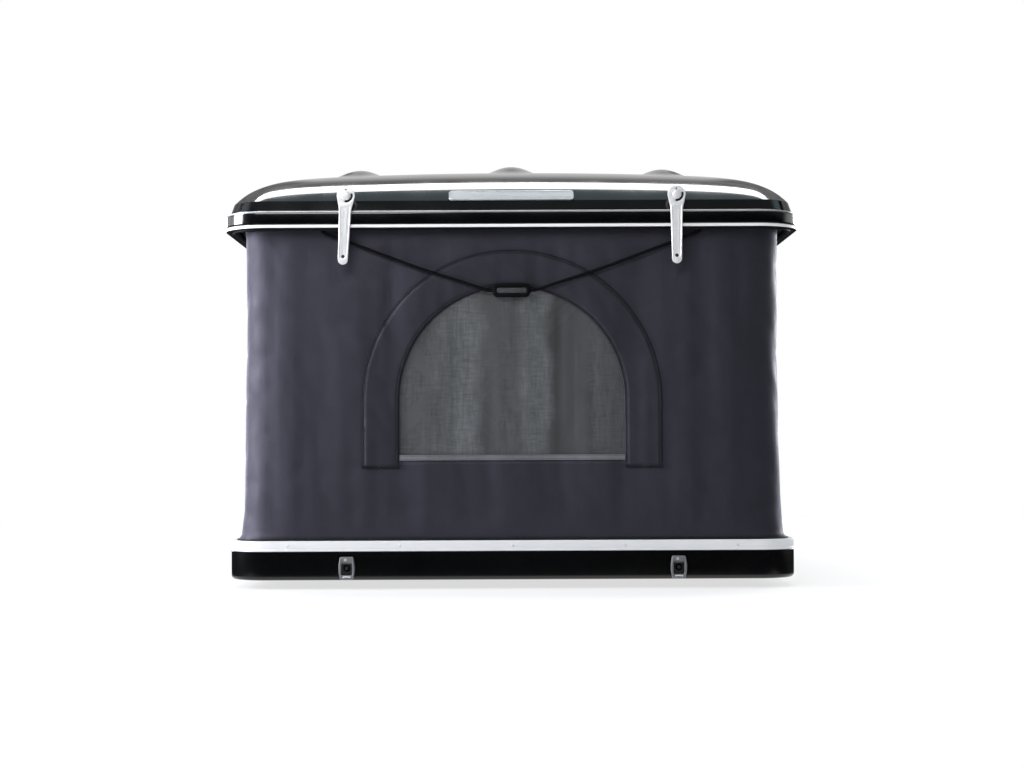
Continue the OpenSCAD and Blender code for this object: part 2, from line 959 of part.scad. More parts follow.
// Flat arm with its crank, the pin for the gas strut and the pin for the glide
module arm() {
    crank_w = 2 * tab_r;
    color(steel)
        turned()
            union() {
                upright(-arm_out, arm_t)
                    difference() {
                        union() {
                            translate([0, -arm_w / 2])
                                square([arm_len, arm_w]);
                            for (x = [0, arm_len])
                                translate([x, 0])
                                    circle(arm_w / 2);
                            rotate(crank_angle) {
                                translate([0, -tab_r])
                                    square([crank_r, crank_w]);
                                translate([crank_r, 0])
                                    circle(tab_r);
                            }
                        }
                        circle(pin_r + run_gap);
                        translate([arm_len / 2, 0])
                            circle(pin_r + run_gap);
                    }
                polar(crank_r, crank_angle)
                    bar_y(strut_pin_r, -strut_mid - eye_t / 2 - pin_past, -arm_out + cut);
                translate([arm_len, 0, 0])
                    bar_y(glide_pin_r, -glide_out, -arm_out + cut);
            }
}

module glide() {
    color(nylon)
        turned()
            translate([arm_len, 0, 0])
                difference() {
                    bar_y(glide_r, -glide_out, -glide_in);
                    bar_y(glide_pin_r + run_gap, -glide_out - cut, cut - glide_in);
                }
}

// Pin through both arms where they cross
module cross_pin() {
    head_rim = 4;
    head_r = pin_r + head_rim;
    head_t = 2;
    color(steel)
        turned()
            translate([arm_len / 2, 0, 0]) {
                bar_y(pin_r, -arm_out - head_t, arm_out + head_t);
                for (y = [-arm_out - head_t, arm_out + seat_gap])
                    bar_y(head_r, y, y + head_t - seat_gap);
                bar_y(head_r, seat_gap - arm_gap, arm_gap - seat_gap);
            }
}

module along_strut() {
    polar(crank_r, strut_foot)
        translate([0, -strut_mid, 0])
            rotate([0, 90 - strut_lean, 0])
                children();
}

module strut_tube() {
    color(black)
        along_strut()
            difference() {
                union() {
                    bar_y(eye_r, -eye_t / 2, eye_t / 2);
                    cylinder(r = tube_r, h = tube_len);
                }
                bar_y(strut_pin_r + run_gap, -tube_r - cut, tube_r + cut);
                translate([0, 0, rod_room])
                    cylinder(r = rod_r + run_gap, h = tube_len);
            }
}

// The rod's eye is a short slot, because the rod slides at a steady rate
module strut_rod() {
    color(steel)
        along_strut()
            difference() {
                union() {
                    translate([0, 0, strut_len - rod_len])
                        cylinder(r = rod_r, h = rod_len);
                    translate([0, 0, strut_len])
                        bar_y(rod_eye_r, -eye_t / 2, eye_t / 2);
                }
                for (z = [-slot_half, slot_half])
                    translate([0, 0, strut_len + z])
                        bar_y(strut_pin_r + run_gap, -eye_t, eye_t);
                translate([-strut_pin_r - run_gap, -eye_t, strut_len - slot_half])
                    cube([2 * (strut_pin_r + run_gap), 2 * eye_t, 2 * slot_half]);
            }
}

// Latches

module at_latches() {
    for (s = [0, 180], x = [-latch_x, latch_x])
        rotate([0, 0, s])
            translate([x, 0, 0])
                children();
}

module latch(name, side) {
    rotate([0, 0, name == "front" ? 0 : 180])
        translate([side == "left" ? -latch_x : latch_x, 0, 0])
            children();
}

// Post that carries the strap's pivot and the peg for its curved slot
module latch_posts() {
    back = step_in - wall_lean - roof_l / 2 - run_gap;
    front = seat_gap - strap_y;
    color(black)
        at_latches() {
            translate([0, 0, latch_z])
                bar_y(post_r, front, back);
            upright(front, back - front)
                translate([-post_w / 2, rim_z + post_foot])
                    square([post_w, latch_h - post_foot]);
            translate([0, 0, latch_z])
                polar(slot_r, slot_from + guide_turn)
                    bar_y(guide_r, -strap_y - strap_t, front + cut);
        }
}

module latch_rivets() {
    front = -strap_y - strap_t - seat_gap;
    color(steel)
        at_latches()
            translate([0, 0, latch_z]) {
                bar_y(rivet_shank, front, seat_gap - strap_y);
                bar_y(rivet_head, front - rivet_head_t, front);
            }
}

// Curved slot about the strap's pivot
module strap_slot() {
    far = 2 * slot_r;
    intersection() {
        difference() {
            circle(slot_r + slot_w / 2);
            circle(slot_r - slot_w / 2);
        }
        polygon([
            [0, 0], far * [cos(slot_from), sin(slot_from)],
            far * [1, -1], far * [cos(slot_to), sin(slot_to)]
        ]);
    }
    for (a = [slot_from, slot_to])
        translate(slot_r * [cos(a), sin(a)])
            circle(slot_w / 2);
}

module strap(lean) {
    neck = strap_neck / 2;
    tip = strap_end / 2;
    color(steel)
        translate([0, 0, latch_z])
            rotate([0, lean, 0])
                union() {
                    upright(-strap_y - strap_t, strap_t)
                        difference() {
                            union() {
                                circle(strap_head);
                                polygon([
                                    [-neck, -strap_shoulder], [neck, -strap_shoulder],
                                    [tip, -strap_reach], [-tip, -strap_reach]
                                ]);
                                translate([0, -strap_reach])
                                    circle(tip);
                                translate([-tip, -strap_reach - strap_tail + tip])
                                    square([strap_end, strap_tail - tip]);
                                translate([0, -strap_reach - strap_tail + tip])
                                    circle(tip);
                            }
                            circle(rivet_shank + run_gap);
                            strap_slot();
                            translate([0, -strap_reach])
                                circle(strap_hole);
                        }
                    upright(-strap_y - strap_t - strap_lip, strap_lip + cut)
                        for (s = [-1, 1])
                            polygon([
                                [s * neck, -strap_head - strap_lip], [s * tip, -strap_reach],
                                [s * (tip - lip_w), -strap_reach],
                                [s * (neck - lip_w), -strap_head - strap_lip]
                            ]);
                }
}

// Keeper frame on the base with a bulging outline and room for the lock button
module catches() {
    half = catch_w / 2;
    tall = catch_l / 2;
    bulge = half + catch_bulge;
    room = half - catch_wall;
    color(steel)
        at_latches()
            translate([0, -base_y, catch_z])
                difference() {
                    upright(-catch_d, catch_d)
                        polygon([
                            [-half, -tall], [half, -tall], [bulge, -tall / 4], [bulge, tall / 4],
                            [half, tall], [-half, tall], [-bulge, tall / 4], [-bulge, -tall / 4]
                        ]);
                    upright(-catch_d - cut, catch_d - catch_floor + cut)
                        translate([-room, catch_lip - tall])
                            square([2 * room, catch_l - 2 * catch_lip]);
                    bar_y(button_r + run_gap, -catch_d - cut, cut);
                    for (z = [-1, 1])
                        translate([0, 0, z * (tall - catch_lip / 2)])
                            bar_y(screw_r, -catch_d - cut, screw_t - catch_d);
                }
}

// Lock button, drawn pushed in; it slides out through the strap's hole when the tent is shut
module button() {
    color(black)
        translate([0, 0, catch_z]) {
            bar_y(nose_r, -nose_top, -button_top);
            bar_y(button_r, -button_top, button_len - button_top);
        }
}

// Pull cord

function along(route, i) = let (
    a = route[max(0, i - 1)],
    b = route[min(len(route) - 1, i + 1)]
) (b - a) / norm(b - a);

// Ring of points round the cord, square to its run
function cord_ring(route, i, r) = let (
    t = along(route, i),
    side = cross(t, [0, 1, 0]),
    u = side / norm(side),
    v = cross(u, t)
) [for (k = [0:cord_sides - 1]) let (a = 360 * k / cord_sides) route[i] + r * (cos(a) * u + sin(a) * v)];

module pull_cord(side) {
    route = [for (p = cord_route) [p[0], -cord_y - p[1], cord_top + p[2]]];
    color(black)
        mirror([side == "left" ? 0 : 1, 0, 0])
            loft([for (i = [0:len(route) - 1]) cord_ring(route, i, cord_d / 2)]);
}

module cord_ferrules() {
    color(steel)
        for (s = [-1, 1])
            translate([s * cord_route[0][0], -cord_y, cord_top])
                cylinder(r = ferrule_r, h = ferrule_h);
}

module pull_handle() {
    inner_w = handle_w - 2 * handle_t;
    inner_h = handle_h - 2 * handle_t;
    color(rubber)
        translate([0, 0, handle_z])
            union() {
                upright(-handle_y - handle_d / 2, handle_d)
                    difference() {
                        rounded(handle_w, handle_h, handle_h / 3);
                        rounded(inner_w, inner_h, inner_h / 3);
                    }
                upright(-handle_y - handle_d / 3, handle_d * 2 / 3)
                    square([inner_w + cut, inner_h - 2 * cut], center = true);
            }
}

// Assembly

roof_shell();
roof_trim();
roof_bead();
rim_seal();
canvas_frame();
roof_liner();
badge_plate();
base_shell();
base_band();
band_rivets();
floor_panel();
mattress();
mount_rail(-1);  // mount_rail_left
mount_rail(1);  // mount_rail_right
rail_screws();
canvas();
window_nets();
door_rolls();
for (e = ends) {
    lower(e) bracket(pivot_h);
    upper(e) bracket(pivot_drop);
    lower(e) track(pivot_h);
    upper(e) track(pivot_drop);
    lower(e) arm();
    upper(e) arm();
    lower(e) cross_pin();
    lower(e) glide();
    upper(e) glide();
    lower(e) strut_tube();
    upper(e) strut_tube();
    lower(e) strut_rod();
    upper(e) strut_rod();
    for (s = sides) {
        lean = e == "front" && s == "left" ? left_lean : 0;
        latch(e, s) strap(lean);
        latch(e, s) button();
    }
}
latch_posts();
latch_rivets();
catches();
cord_ferrules();
pull_cord("left");  // pull_cord_left
pull_cord("right");  // pull_cord_right
pull_handle();
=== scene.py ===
from math import atan, copysign, cos, dist, exp, hypot, pi, radians, sin, sqrt, tau

import bmesh
import bpy
from mathutils import Matrix, Vector, noise


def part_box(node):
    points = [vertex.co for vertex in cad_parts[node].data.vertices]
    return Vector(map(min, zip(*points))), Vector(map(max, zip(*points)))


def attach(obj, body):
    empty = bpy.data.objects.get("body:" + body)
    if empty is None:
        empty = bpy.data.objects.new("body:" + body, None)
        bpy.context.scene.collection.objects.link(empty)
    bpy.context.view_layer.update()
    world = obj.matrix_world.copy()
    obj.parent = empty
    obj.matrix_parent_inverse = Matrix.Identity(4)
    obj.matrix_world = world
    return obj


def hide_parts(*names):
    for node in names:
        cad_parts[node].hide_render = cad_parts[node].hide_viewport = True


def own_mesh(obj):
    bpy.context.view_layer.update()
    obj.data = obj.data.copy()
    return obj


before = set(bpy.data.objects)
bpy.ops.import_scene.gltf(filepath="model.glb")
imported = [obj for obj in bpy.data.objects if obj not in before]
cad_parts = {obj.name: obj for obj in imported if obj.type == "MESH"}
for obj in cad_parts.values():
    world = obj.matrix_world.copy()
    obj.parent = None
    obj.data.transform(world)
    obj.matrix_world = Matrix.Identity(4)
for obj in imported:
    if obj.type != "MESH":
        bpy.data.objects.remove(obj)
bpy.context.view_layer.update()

scene = bpy.context.scene
scene.view_settings.view_transform = "Standard"

# Sizes in millimetres, as in the solids. Pieces are drawn in millimetres and made in metres.
MM = 0.001
HX, HY, R = 650.0, 1050.0, 100.0
CX, CY = HX - R, HY - R
BASE_Z, BAND_Z, BAND_TOP = 20.0, 84.0, 107.0
RIM_Z, CANVAS_TOP, PAD_Z = 804.0, 833.0, 861.0
BASE_IN, BAND_T, SHELL_T = 14.0, 18.0, 5.0
WINDOW_R, WINDOW_Z, WINDOW_FOOT = 252.0, 421.0, 286.0
ARCH_R, ARCH_FOOT = 332.0, 270.0
DOOR_HALF, DOOR_FOOT, DOOR_TOP, DOOR_R = 480.0, 177.0, 697.0, 180.0
LATCH_X, LATCH_Z, CATCH_Z, STRAP_Y, STRAP_REACH = 368.0, 875.0, 47.0, 1053.6, 136.5
LATCHES = [("front", "left"), ("front", "right"), ("rear", "left"), ("rear", "right")]
# Openings as half width, corner radius, foot and top
WINDOW = (WINDOW_R, WINDOW_R, WINDOW_FOOT, WINDOW_Z + WINDOW_R)
DOOR = (DOOR_HALF, DOOR_R, DOOR_FOOT, DOOR_TOP)
# Cosine and sine of each wall's turn: front, right, rear, left
WALL_TURN = ((1, 0), (0, 1), (-1, 0), (0, -1))


def shift(x, y, z):
    return Matrix.Translation((x, y, z))


def spin(angle, axis):
    return Matrix.Rotation(angle, 4, axis)


def add(name, data):
    obj = bpy.data.objects.new(name, data)
    scene.collection.objects.link(obj)
    return obj


# Camera

camera = add("camera", bpy.data.cameras.new("camera"))
camera.data.lens = 63.42
camera.data.sensor_width = 36.0
camera.matrix_world = shift(0.0, -5.05, 0.297) @ spin(radians(92.245), "X") @ spin(radians(-0.25), "Z")
scene.camera = camera


# Shapes

def clamp(v, low=0.0, high=1.0):
    return max(low, min(high, v))


def smooth(t):
    t = clamp(t)
    return t * t * (3 - 2 * t)


def steps(a, b, size):
    n = max(1, round(abs(b - a) / size))
    return [a + (b - a) * i / n for i in range(n + 1)]


def run_through(stops, size):
    out = [stops[0]]
    for a, b in zip(stops, stops[1:]):
        out += steps(a, b, size)[1:]
    return out


def arc(cx, cy, r, a0, a1, n):
    angles = [radians(a0 + (a1 - a0) * i / n) for i in range(n + 1)]
    return [(cx + r * cos(a), cy + r * sin(a)) for a in angles]


def oval(a, b, n):
    return [(a * cos(tau * i / n), b * sin(tau * i / n)) for i in range(n)]


def lengths(points):
    """How far along a line each of its points is, and last the way round to the first."""
    out = [0.0]
    for a, b in zip(points, [*points[1:], points[0]]):
        out.append(out[-1] + dist(a, b))
    return out


def rounded(w, h, r, n=8):
    x, y = w / 2 - r, h / 2 - r
    return (arc(x, -y, r, -90, 0, n) + arc(x, y, r, 0, 90, n)
            + arc(-x, y, r, 90, 180, n) + arc(-x, -y, r, 180, 270, n))


def soften(points, r, n=3):
    """A closed outline with its corners rounded off."""
    out = []
    for i, p in enumerate(points):
        p, a, b = Vector(p), Vector(points[i - 1]), Vector(points[(i + 1) % len(points)])
        u, v = a - p, b - p
        d = min(r, 0.45 * u.length, 0.45 * v.length)
        a, b = p + u.normalized() * d, p + v.normalized() * d
        for k in range(n + 1):
            t = k / n
            q = a * (1 - t) ** 2 + p * 2 * t * (1 - t) + b * t * t
            out.append((q.x, q.y))
    return out


class Shape:
    """Points in millimetres, faces, and each face corner's place in the pattern."""

    def __init__(self):
        self.verts, self.faces, self.uvs = [], [], []

    def face(self, cells, uv=None):
        self.faces.append(list(cells))
        self.uvs.append(uv or [self.verts[c][:2] for c in cells])

    def grid(self, rows, close_rows=False, close_cols=False, uv=None):
        first, n, m = len(self.verts), len(rows), len(rows[0])
        for row in rows:
            self.verts.extend(tuple(p) for p in row)
        for i in range(n if close_rows else n - 1):
            for j in range(m if close_cols else m - 1):
                cells = [(i, j), (i, j + 1), (i + 1, j + 1), (i + 1, j)]
                ids = [first + (a % n) * m + b % m for a, b in cells]
                self.face(ids, [uv(a, b) for a, b in cells] if uv else None)
        return first

    def loft(self, rings, closed=False, uv=None):
        """A skin over rings of points, with its two ends filled if it isn't closed."""
        first, m = self.grid(rings, closed, True, uv), len(rings[0])
        if not closed:
            last = first + m * (len(rings) - 1)
            self.face(range(first, first + m))
            self.face(range(last + m - 1, last - 1, -1))

    def lathe(self, profile, matrix, n):
        self.loft([[matrix @ Vector((x, y, h)) for x, y in oval(r, r, n)] for r, h in profile])

    def tube(self, path, section, closed=False):
        """Runs a section of (side, up) points along a path."""
        path = [Vector(p) for p in path]
        count, rows, side, at = len(path), [], None, lengths(path)
        for i, p in enumerate(path):
            a = path[i - 1] if closed or i else p
            b = path[(i + 1) % count] if closed or i < count - 1 else p
            t = (b - a).normalized()
            if side is None:
                side = t.cross(Vector((0, 0, 1)) if abs(t.z) < 0.9 else Vector((0, 1, 0)))
            side = (side - t * side.dot(t)).normalized()
            up = side.cross(t)
            rows.append([p + side * a + up * b for a, b in section])
        self.loft(rows, closed, lambda i, j: (at[i], j * 2.0))

    def block(self, matrix, size):
        """A small raised block, narrower on top."""
        x, y, z = (s / 2 for s in size)
        corners = ((-x, -y), (x, -y), (x, y), (-x, y))
        self.loft([[matrix @ Vector((a * s, b * s, h)) for a, b in corners]
                   for h, s in ((-z, 1.0), (z * 0.4, 0.95), (z, 0.7))])

    def plate(self, outline, holes, depth, bevel, matrix):
        """A plate with soft edges: its back lies on the matrix's plane, and its front is depth above."""
        curve = bpy.data.curves.new("plate", "CURVE")
        curve.dimensions, curve.fill_mode = "2D", "BOTH"
        for points in [outline, *holes]:
            spline = curve.splines.new("POLY")
            spline.points.add(len(points) - 1)
            for q, p in zip(spline.points, points):
                q.co = (p[0], p[1], 0, 1)
            spline.use_cyclic_u = True
        curve.extrude, curve.bevel_depth = depth / 2 - bevel, bevel
        curve.bevel_resolution, curve.offset = 2, -bevel
        obj = bpy.data.objects.new("plate", curve)
        mesh = bpy.data.meshes.new_from_object(obj)
        first = len(self.verts)
        lift = Vector((0, 0, depth / 2))
        self.verts.extend(tuple(matrix @ (v.co + lift)) for v in mesh.vertices)
        for f in mesh.polygons:
            self.face([first + i for i in f.vertices])
        bpy.data.objects.remove(obj)
        bpy.data.curves.remove(curve)
        bpy.data.meshes.remove(mesh)


# Shut, the canvas lies folded between the band and the rail that carries its top
ROOF_DROP, RAIL_H, FOLD_GAP = 691.5, 12.0, 1.5


def make(name, shape, paint, body, sharp=32, tidy=True, replaces=(), folds=None):
    """A piece that rides on a body; folds, the height it would flatten to as the roof comes down, only
    gives it a mesh of its own here.
    """
    mesh = bpy.data.meshes.new(name)
    mesh.from_pydata([[c * MM for c in v] for v in shape.verts], [], shape.faces)
    layer = mesh.uv_layers.new(name="UVMap")
    layer.data.foreach_set("uv", [c * MM for f in shape.uvs for p in f for c in p])
    if tidy:
        work = bmesh.new()
        work.from_mesh(mesh)
        bmesh.ops.remove_doubles(work, verts=work.verts, dist=1e-6)
        bmesh.ops.recalc_face_normals(work, faces=work.faces)
        work.to_mesh(mesh)
        work.free()
    mesh.polygons.foreach_set("use_smooth", [True] * len(mesh.polygons))
    mesh.set_sharp_from_angle(angle=radians(sharp))
    mesh.materials.append(paint)
    obj = add(name, mesh)
    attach(obj, body)
    if replaces:
        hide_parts(*replaces)
    if folds is not None:
        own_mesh(obj)
    return obj


def thicken(obj, depth):
    solid = obj.modifiers.new("thickness", "SOLIDIFY")
    solid.thickness, solid.offset = depth * MM, -1.0


def swell(obj, free, reach):
    """Blows a pad's cover up with Blender's Cloth between its seams; no point moves further than reach."""
    verts = obj.data.vertices
    sewn = obj.vertex_groups.new(name="sewn")
    sewn.add([v.index for v in verts if not free(*(v.co / MM))], 1.0, "REPLACE")
    air = obj.modifiers.new("swell", "CLOTH")
    air.settings.quality = 3
    air.settings.vertex_group_mass = "sewn"
    air.settings.use_pressure = True
    air.settings.uniform_pressure_force = 4.0
    air.settings.effector_weights.gravity = 0.0
    for moment in range(1, 21):
        scene.frame_set(moment)
    full = obj.evaluated_get(bpy.context.evaluated_depsgraph_get()).to_mesh()
    moves = [f.co - v.co for f, v in zip(full.vertices, verts)]
    obj.modifiers.remove(air)
    obj.vertex_groups.remove(sewn)
    scene.frame_set(1)
    for v, d in zip(verts, moves):
        v.co += d * (reach * MM / (reach * MM + d.length))


# Materials

class Nodes:
    def __init__(self, owner):
        owner.use_nodes = True
        self.tree = owner.node_tree

    def node(self, kind, inputs=None, **props):
        made = self.tree.nodes.new("ShaderNode" + kind)
        for key, value in props.items():
            setattr(made, key, value)
        for key, value in (inputs or {}).items():
            if isinstance(value, bpy.types.NodeSocket):
                self.tree.links.new(value, made.inputs[key])
            else:
                made.inputs[key].default_value = value
        return made

    def math(self, kind, a, b=0.0):
        return self.node("Math", {0: a, 1: b}, operation=kind).outputs[0]

    def span(self, value, a, b, low=0.0, high=1.0):
        given = {"Value": value, "From Min": a, "From Max": b, "To Min": low, "To Max": high}
        return self.node("MapRange", given).outputs[0]

    def window(self, value, a, b, c, d):
        """1 between b and c, fading to 0 at a and d."""
        return self.math("MULTIPLY", self.span(value, a, b), self.span(value, c, d, 1.0, 0.0))


class Paint(Nodes):
    def __init__(self, name, color, rough, metal=0.0, **more):
        self.mat = bpy.data.materials.new(name)
        super().__init__(self.mat)
        self.bsdf = self.tree.nodes["Principled BSDF"]
        self.normal = None
        self.color = (*color, 1.0)
        given = {"Base_Color": self.color, "Roughness": rough, "Metallic": metal, **more}
        for key, value in given.items():
            self.bsdf.inputs[key.replace("_", " ")].default_value = value

    def at(self, scale=(1, 1, 1), source="Object", turn=(0, 0, 0)):
        place = self.node("TexCoord").outputs[source]
        return self.node("Mapping", {"Vector": place, "Scale": scale, "Rotation": turn}).outputs[0]

    def noise(self, size, detail=3.0, stretch=(1, 1, 1), source="Object"):
        """Noise whose blotches are about size metres across."""
        given = {"Vector": self.at(stretch, source), "Scale": 1 / size, "Detail": detail}
        return self.node("TexNoise", given).outputs[0]

    def weave(self, pitch):
        """Height of threads that run both ways, pitch metres apart."""
        given = {"Vector": self.at(source="UV"), "Scale": 0.31416 / pitch, "Detail": 1.0}
        return self.math("MAXIMUM", *(self.node("TexWave", given, bands_direction=axis).outputs["Fac"]
                                      for axis in "XY"))

    def tint(self, factor, color, high, low=0.0):
        """Blends another colour in by a factor, between two shares."""
        factor = self.span(factor, 0.3, 0.7, low, high)
        base = self.bsdf.inputs["Base Color"]
        old = base.links[0].from_socket if base.links else self.color
        mix = self.node("MixRGB", {"Fac": factor, "Color1": old, "Color2": (*color, 1.0)})
        self.tree.links.new(mix.outputs[0], base)

    def levels(self, value, stops):
        """A smooth curve of levels along a value, from (place, level) pairs."""
        ramp = self.node("ValToRGB", {"Fac": value})
        ramp.color_ramp.interpolation = "B_SPLINE"
        marks = ramp.color_ramp.elements
        while len(marks) < len(stops):
            marks.new(0.5)
        for mark, (place, level) in zip(marks, stops):
            mark.position = place
            mark.color = (level, level, level, 1.0)
        return ramp.outputs["Color"]

    def rough(self, factor, low, high):
        self.tree.links.new(self.span(factor, 0.3, 0.7, low, high), self.bsdf.inputs["Roughness"])

    def bump(self, height, depth, strength):
        given = {"Height": height, "Distance": depth, "Strength": strength}
        if self.normal:
            given["Normal"] = self.normal
        self.normal = self.node("Bump", given).outputs[0]
        self.tree.links.new(self.normal, self.bsdf.inputs["Normal"])
        return self


def cloth(name, color, rough, pitch=0.0014, sheen=0.6, shine=0.35):
    p = Paint(name, color, rough, Sheen_Weight=sheen, Sheen_Roughness=0.35, Sheen_Tint=(0.76, 0.77, 1, 1),
              Specular_IOR_Level=shine, Specular_Tint=(0.84, 0.83, 1, 1))
    # The colour is lighter in long upright streaks and fine specks, and darker in broad blotches
    patch_tone = [c * 1.25 for c in color]
    p.tint(p.noise(0.045, 3, (1, 1, 0.07)), patch_tone, 0.7)
    p.tint(p.noise(0.16, 4), [c * 0.78 for c in color], 0.6)
    p.tint(p.noise(0.006, 3), patch_tone, 0.5)
    p.rough(p.noise(0.05), rough - 0.08, rough + 0.08)
    p.bump(p.noise(0.035, 3, (1, 1, 0.35)), 0.0012, 0.35)
    return p.bump(p.weave(pitch), 0.0002, 0.35).mat


def metal(name, color, rough, share, streak, source="UV", size=0.02, patch_tone=0.8):
    p = Paint(name, color, rough, share)
    fine = p.noise(size, 5, streak, source)
    p.tint(fine, [c * patch_tone for c in color], 0.35)
    p.tint(p.noise(0.11, 4), [c * 0.88 for c in color], 0.4)
    p.rough(fine, rough * 0.8, rough * 1.3)
    return p.bump(fine, 0.0001, 0.25).mat


p = Paint("gloss_black", (0.0013, 0.0015, 0.0018), 0.16, Coat_Weight=1.0, Coat_Roughness=0.03)
p.tint(p.noise(0.3, 5), (0.0028, 0.0031, 0.0036), 0.6)
p.rough(p.noise(0.08, 6), 0.12, 0.22)
p.bump(p.noise(0.006, 1), 0.00003, 0.12)
gloss_black = p.mat
alloy = metal("bright_alloy", (0.9, 0.905, 0.915), 0.36, 0.18, (0.06, 1, 1), size=0.003)
bead_alloy = metal("bead_alloy", (0.5, 0.505, 0.515), 0.36, 0.4, (0.06, 1, 1), size=0.003)
plate_steel = metal("plate_steel", (0.54, 0.545, 0.56), 0.32, 0.75, (1, 60, 1), "Object", 0.05)
steel = metal("plated_steel", (0.58, 0.585, 0.6), 0.34, 0.9, (1, 1, 1), "Object", 0.004, 0.7)
latch_steel = metal("latch_steel", (0.8, 0.805, 0.815), 0.3, 0.25, (30, 1, 1), "Object", 0.02)
catch_steel = metal("catch_steel", (0.3, 0.305, 0.315), 0.34, 0.55, (1, 1, 1), "Object", 0.004, 0.6)
rail_alloy = metal("rail_alloy", (0.7, 0.71, 0.72), 0.38, 0.8, (1, 0.03, 1), "Object", 0.004)


def matt(name, color, rough, grain=0.0012, depth=0.0002, fade=1.5, shine=0.3):
    p = Paint(name, color, rough, Specular_IOR_Level=shine)
    p.tint(p.noise(0.07, 4), [c * fade for c in color], 0.6)
    p.rough(p.noise(0.02, 4), rough - 0.07, rough + 0.07)
    return p.bump(p.noise(grain, 2), depth, 0.5).mat


rubber = matt("seal_rubber", (0.006, 0.006, 0.0066), 0.6)
handle_black = matt("handle_black", (0.003, 0.003, 0.0036), 0.7, shine=0.08)
strut_black = matt("strut_black", (0.012, 0.012, 0.013), 0.3, 0.004, 0.00008)
latch_black = matt("latch_black", (0.014, 0.014, 0.015), 0.45, 0.0009)
grip_grey = matt("grip_grey", (0.042, 0.043, 0.047), 0.5, 0.001)
zip_black = matt("zip_black", (0.02, 0.0195, 0.024), 0.5, 0.002)
nylon = matt("nylon", (0.72, 0.71, 0.66), 0.5, 0.003, 0.0001, 0.9)

canvas_cloth = cloth("canvas_cloth", (0.0165, 0.0155, 0.0236), 0.62, sheen=0.45, shine=0.58)
panel_cloth = cloth("panel_cloth", (0.0162, 0.0154, 0.022), 0.68, sheen=0.4, shine=0.5)
hem_cloth = cloth("hem_cloth", (0.0075, 0.0072, 0.0098), 0.8, 0.0018, 0.0)
edge_cloth = cloth("edge_cloth", (0.125, 0.125, 0.135), 0.75, 0.0016)
webbing = cloth("webbing", (0.022, 0.022, 0.025), 0.7, 0.0022)
cover_cloth = cloth("mattress_cover", (0.1, 0.1, 0.115), 0.85, 0.002, 0.4)
piping_cloth = cloth("piping", (0.03, 0.03, 0.034), 0.8, 0.0016)
thread = cloth("thread", (0.026, 0.026, 0.032), 0.7, 0.0008, 0.1)

p = Paint("liner_felt", (0.3, 0.3, 0.315), 0.95, Sheen_Weight=0.5, Sheen_Roughness=0.6)
p.tint(p.noise(0.004, 6, (1, 3, 1)), (0.22, 0.22, 0.235), 0.8)
p.bump(p.noise(0.0025, 5, (1, 2, 1)), 0.0006, 0.6)
liner_felt = p.mat

p = Paint("floor_board", (0.42, 0.29, 0.17), 0.42)
p.tint(p.noise(0.03, 6, (1, 0.06, 1)), (0.29, 0.18, 0.095), 0.9)
p.rough(p.noise(0.05, 4), 0.36, 0.52)
p.bump(p.noise(0.008, 4, (1, 0.05, 1)), 0.0003, 0.4)
floor_board = p.mat

p = Paint("cord_black", (0.0028, 0.0028, 0.0036), 0.8, Specular_IOR_Level=0.06)
slanted = {"Vector": p.at((1, 0.35, 1), "UV", (0, 0, 0.8)), "Scale": 130.0, "Distortion": 0.6}
braid = p.node("TexWave", slanted).outputs["Fac"]
p.tint(braid, (0.007, 0.007, 0.0085), 0.8)
p.bump(braid, 0.0006, 0.7)
cord_black = p.mat

# Insect net: fine threads both ways with small holes, and painted shade and painted light in fixed upright
# bands where it hangs in folds
p = Paint("window_net", (0.142, 0.152, 0.16), 0.7, Sheen_Weight=0.2)
p.tint(p.noise(0.06, 3, (1, 1, 0.08)), (0.1, 0.104, 0.11), 0.5)
across = p.node("SeparateXYZ", {0: p.at(source="UV")}).outputs[0]
across = p.math("ADD", across, p.span(p.noise(0.09, 2), 0.3, 0.7, -0.012, 0.012))
# Painted shade and light: dark and bright upright bands across the window, fixed in the colour
painted_fold_light = p.levels(p.span(across, -0.26, 0.26), [
    (0.0, 0.4), (0.085, 0.2), (0.15, 0.4), (0.23, 1.0), (0.34, 0.95), (0.39, 0.05), (0.45, 0.3),
    (0.54, 0.5), (0.6, 1.0), (0.655, 0.9), (0.69, 0.0), (0.76, 0.05), (0.84, 0.35), (1.0, 0.5)])
p.tint(p.span(painted_fold_light, 0.0, 1.0, 0.3, 0.7), (0.012, 0.0117, 0.013), 0.0, 0.88)
for stretch in ((1, 1, 0.12), (0.12, 1, 1)):
    p.tint(p.noise(0.0045, 2, stretch), (0.035, 0.036, 0.039), 0.5)
threads = p.weave(0.0022)
p.tree.links.new(p.span(threads, 0.42, 0.62, 0.8, 1.0), p.bsdf.inputs["Alpha"])
p.bump(threads, 0.0002, 0.4)
window_net = p.mat


# The plan: a rounded rectangle walked counter-clockwise from the left end of the front

def walk(across, along, turn):
    """Centre, outward direction, wall number and place on that wall for each point of the plan."""
    out = []
    for k in range(4):
        run = across if k % 2 == 0 else along
        half = (CX, CY) if k % 2 == 0 else (CY, CX)
        c, s = WALL_TURN[k]
        x, y = half[0], -half[1]
        for u in run[:-1]:
            out.append((c * u - s * y, s * u + c * y, s, -c, k, u))
        for j in range(turn):
            a = k * pi / 2 - pi / 2 + j * pi / 2 / turn
            out.append((c * x - s * y, s * x + c * y, cos(a), sin(a), k if j == 0 else None, half[0]))
    return out


EDGE = walk(steps(-CX, CX, 60), steps(-CY, CY, 60), 20)


def plan_ring(inset, z, plan=EDGE):
    return [(cx + nx * (R - inset), cy + ny * (R - inset), z) for cx, cy, nx, ny, *_ in plan]


def sweep(shape, section, closed=True):
    """Runs a section of (inset, height) points round the tent."""
    along, up = lengths(plan_ring(0, 0)), lengths(section)
    shape.loft([plan_ring(a, z) for a, z in section], closed, lambda i, j: (along[j], up[i]))


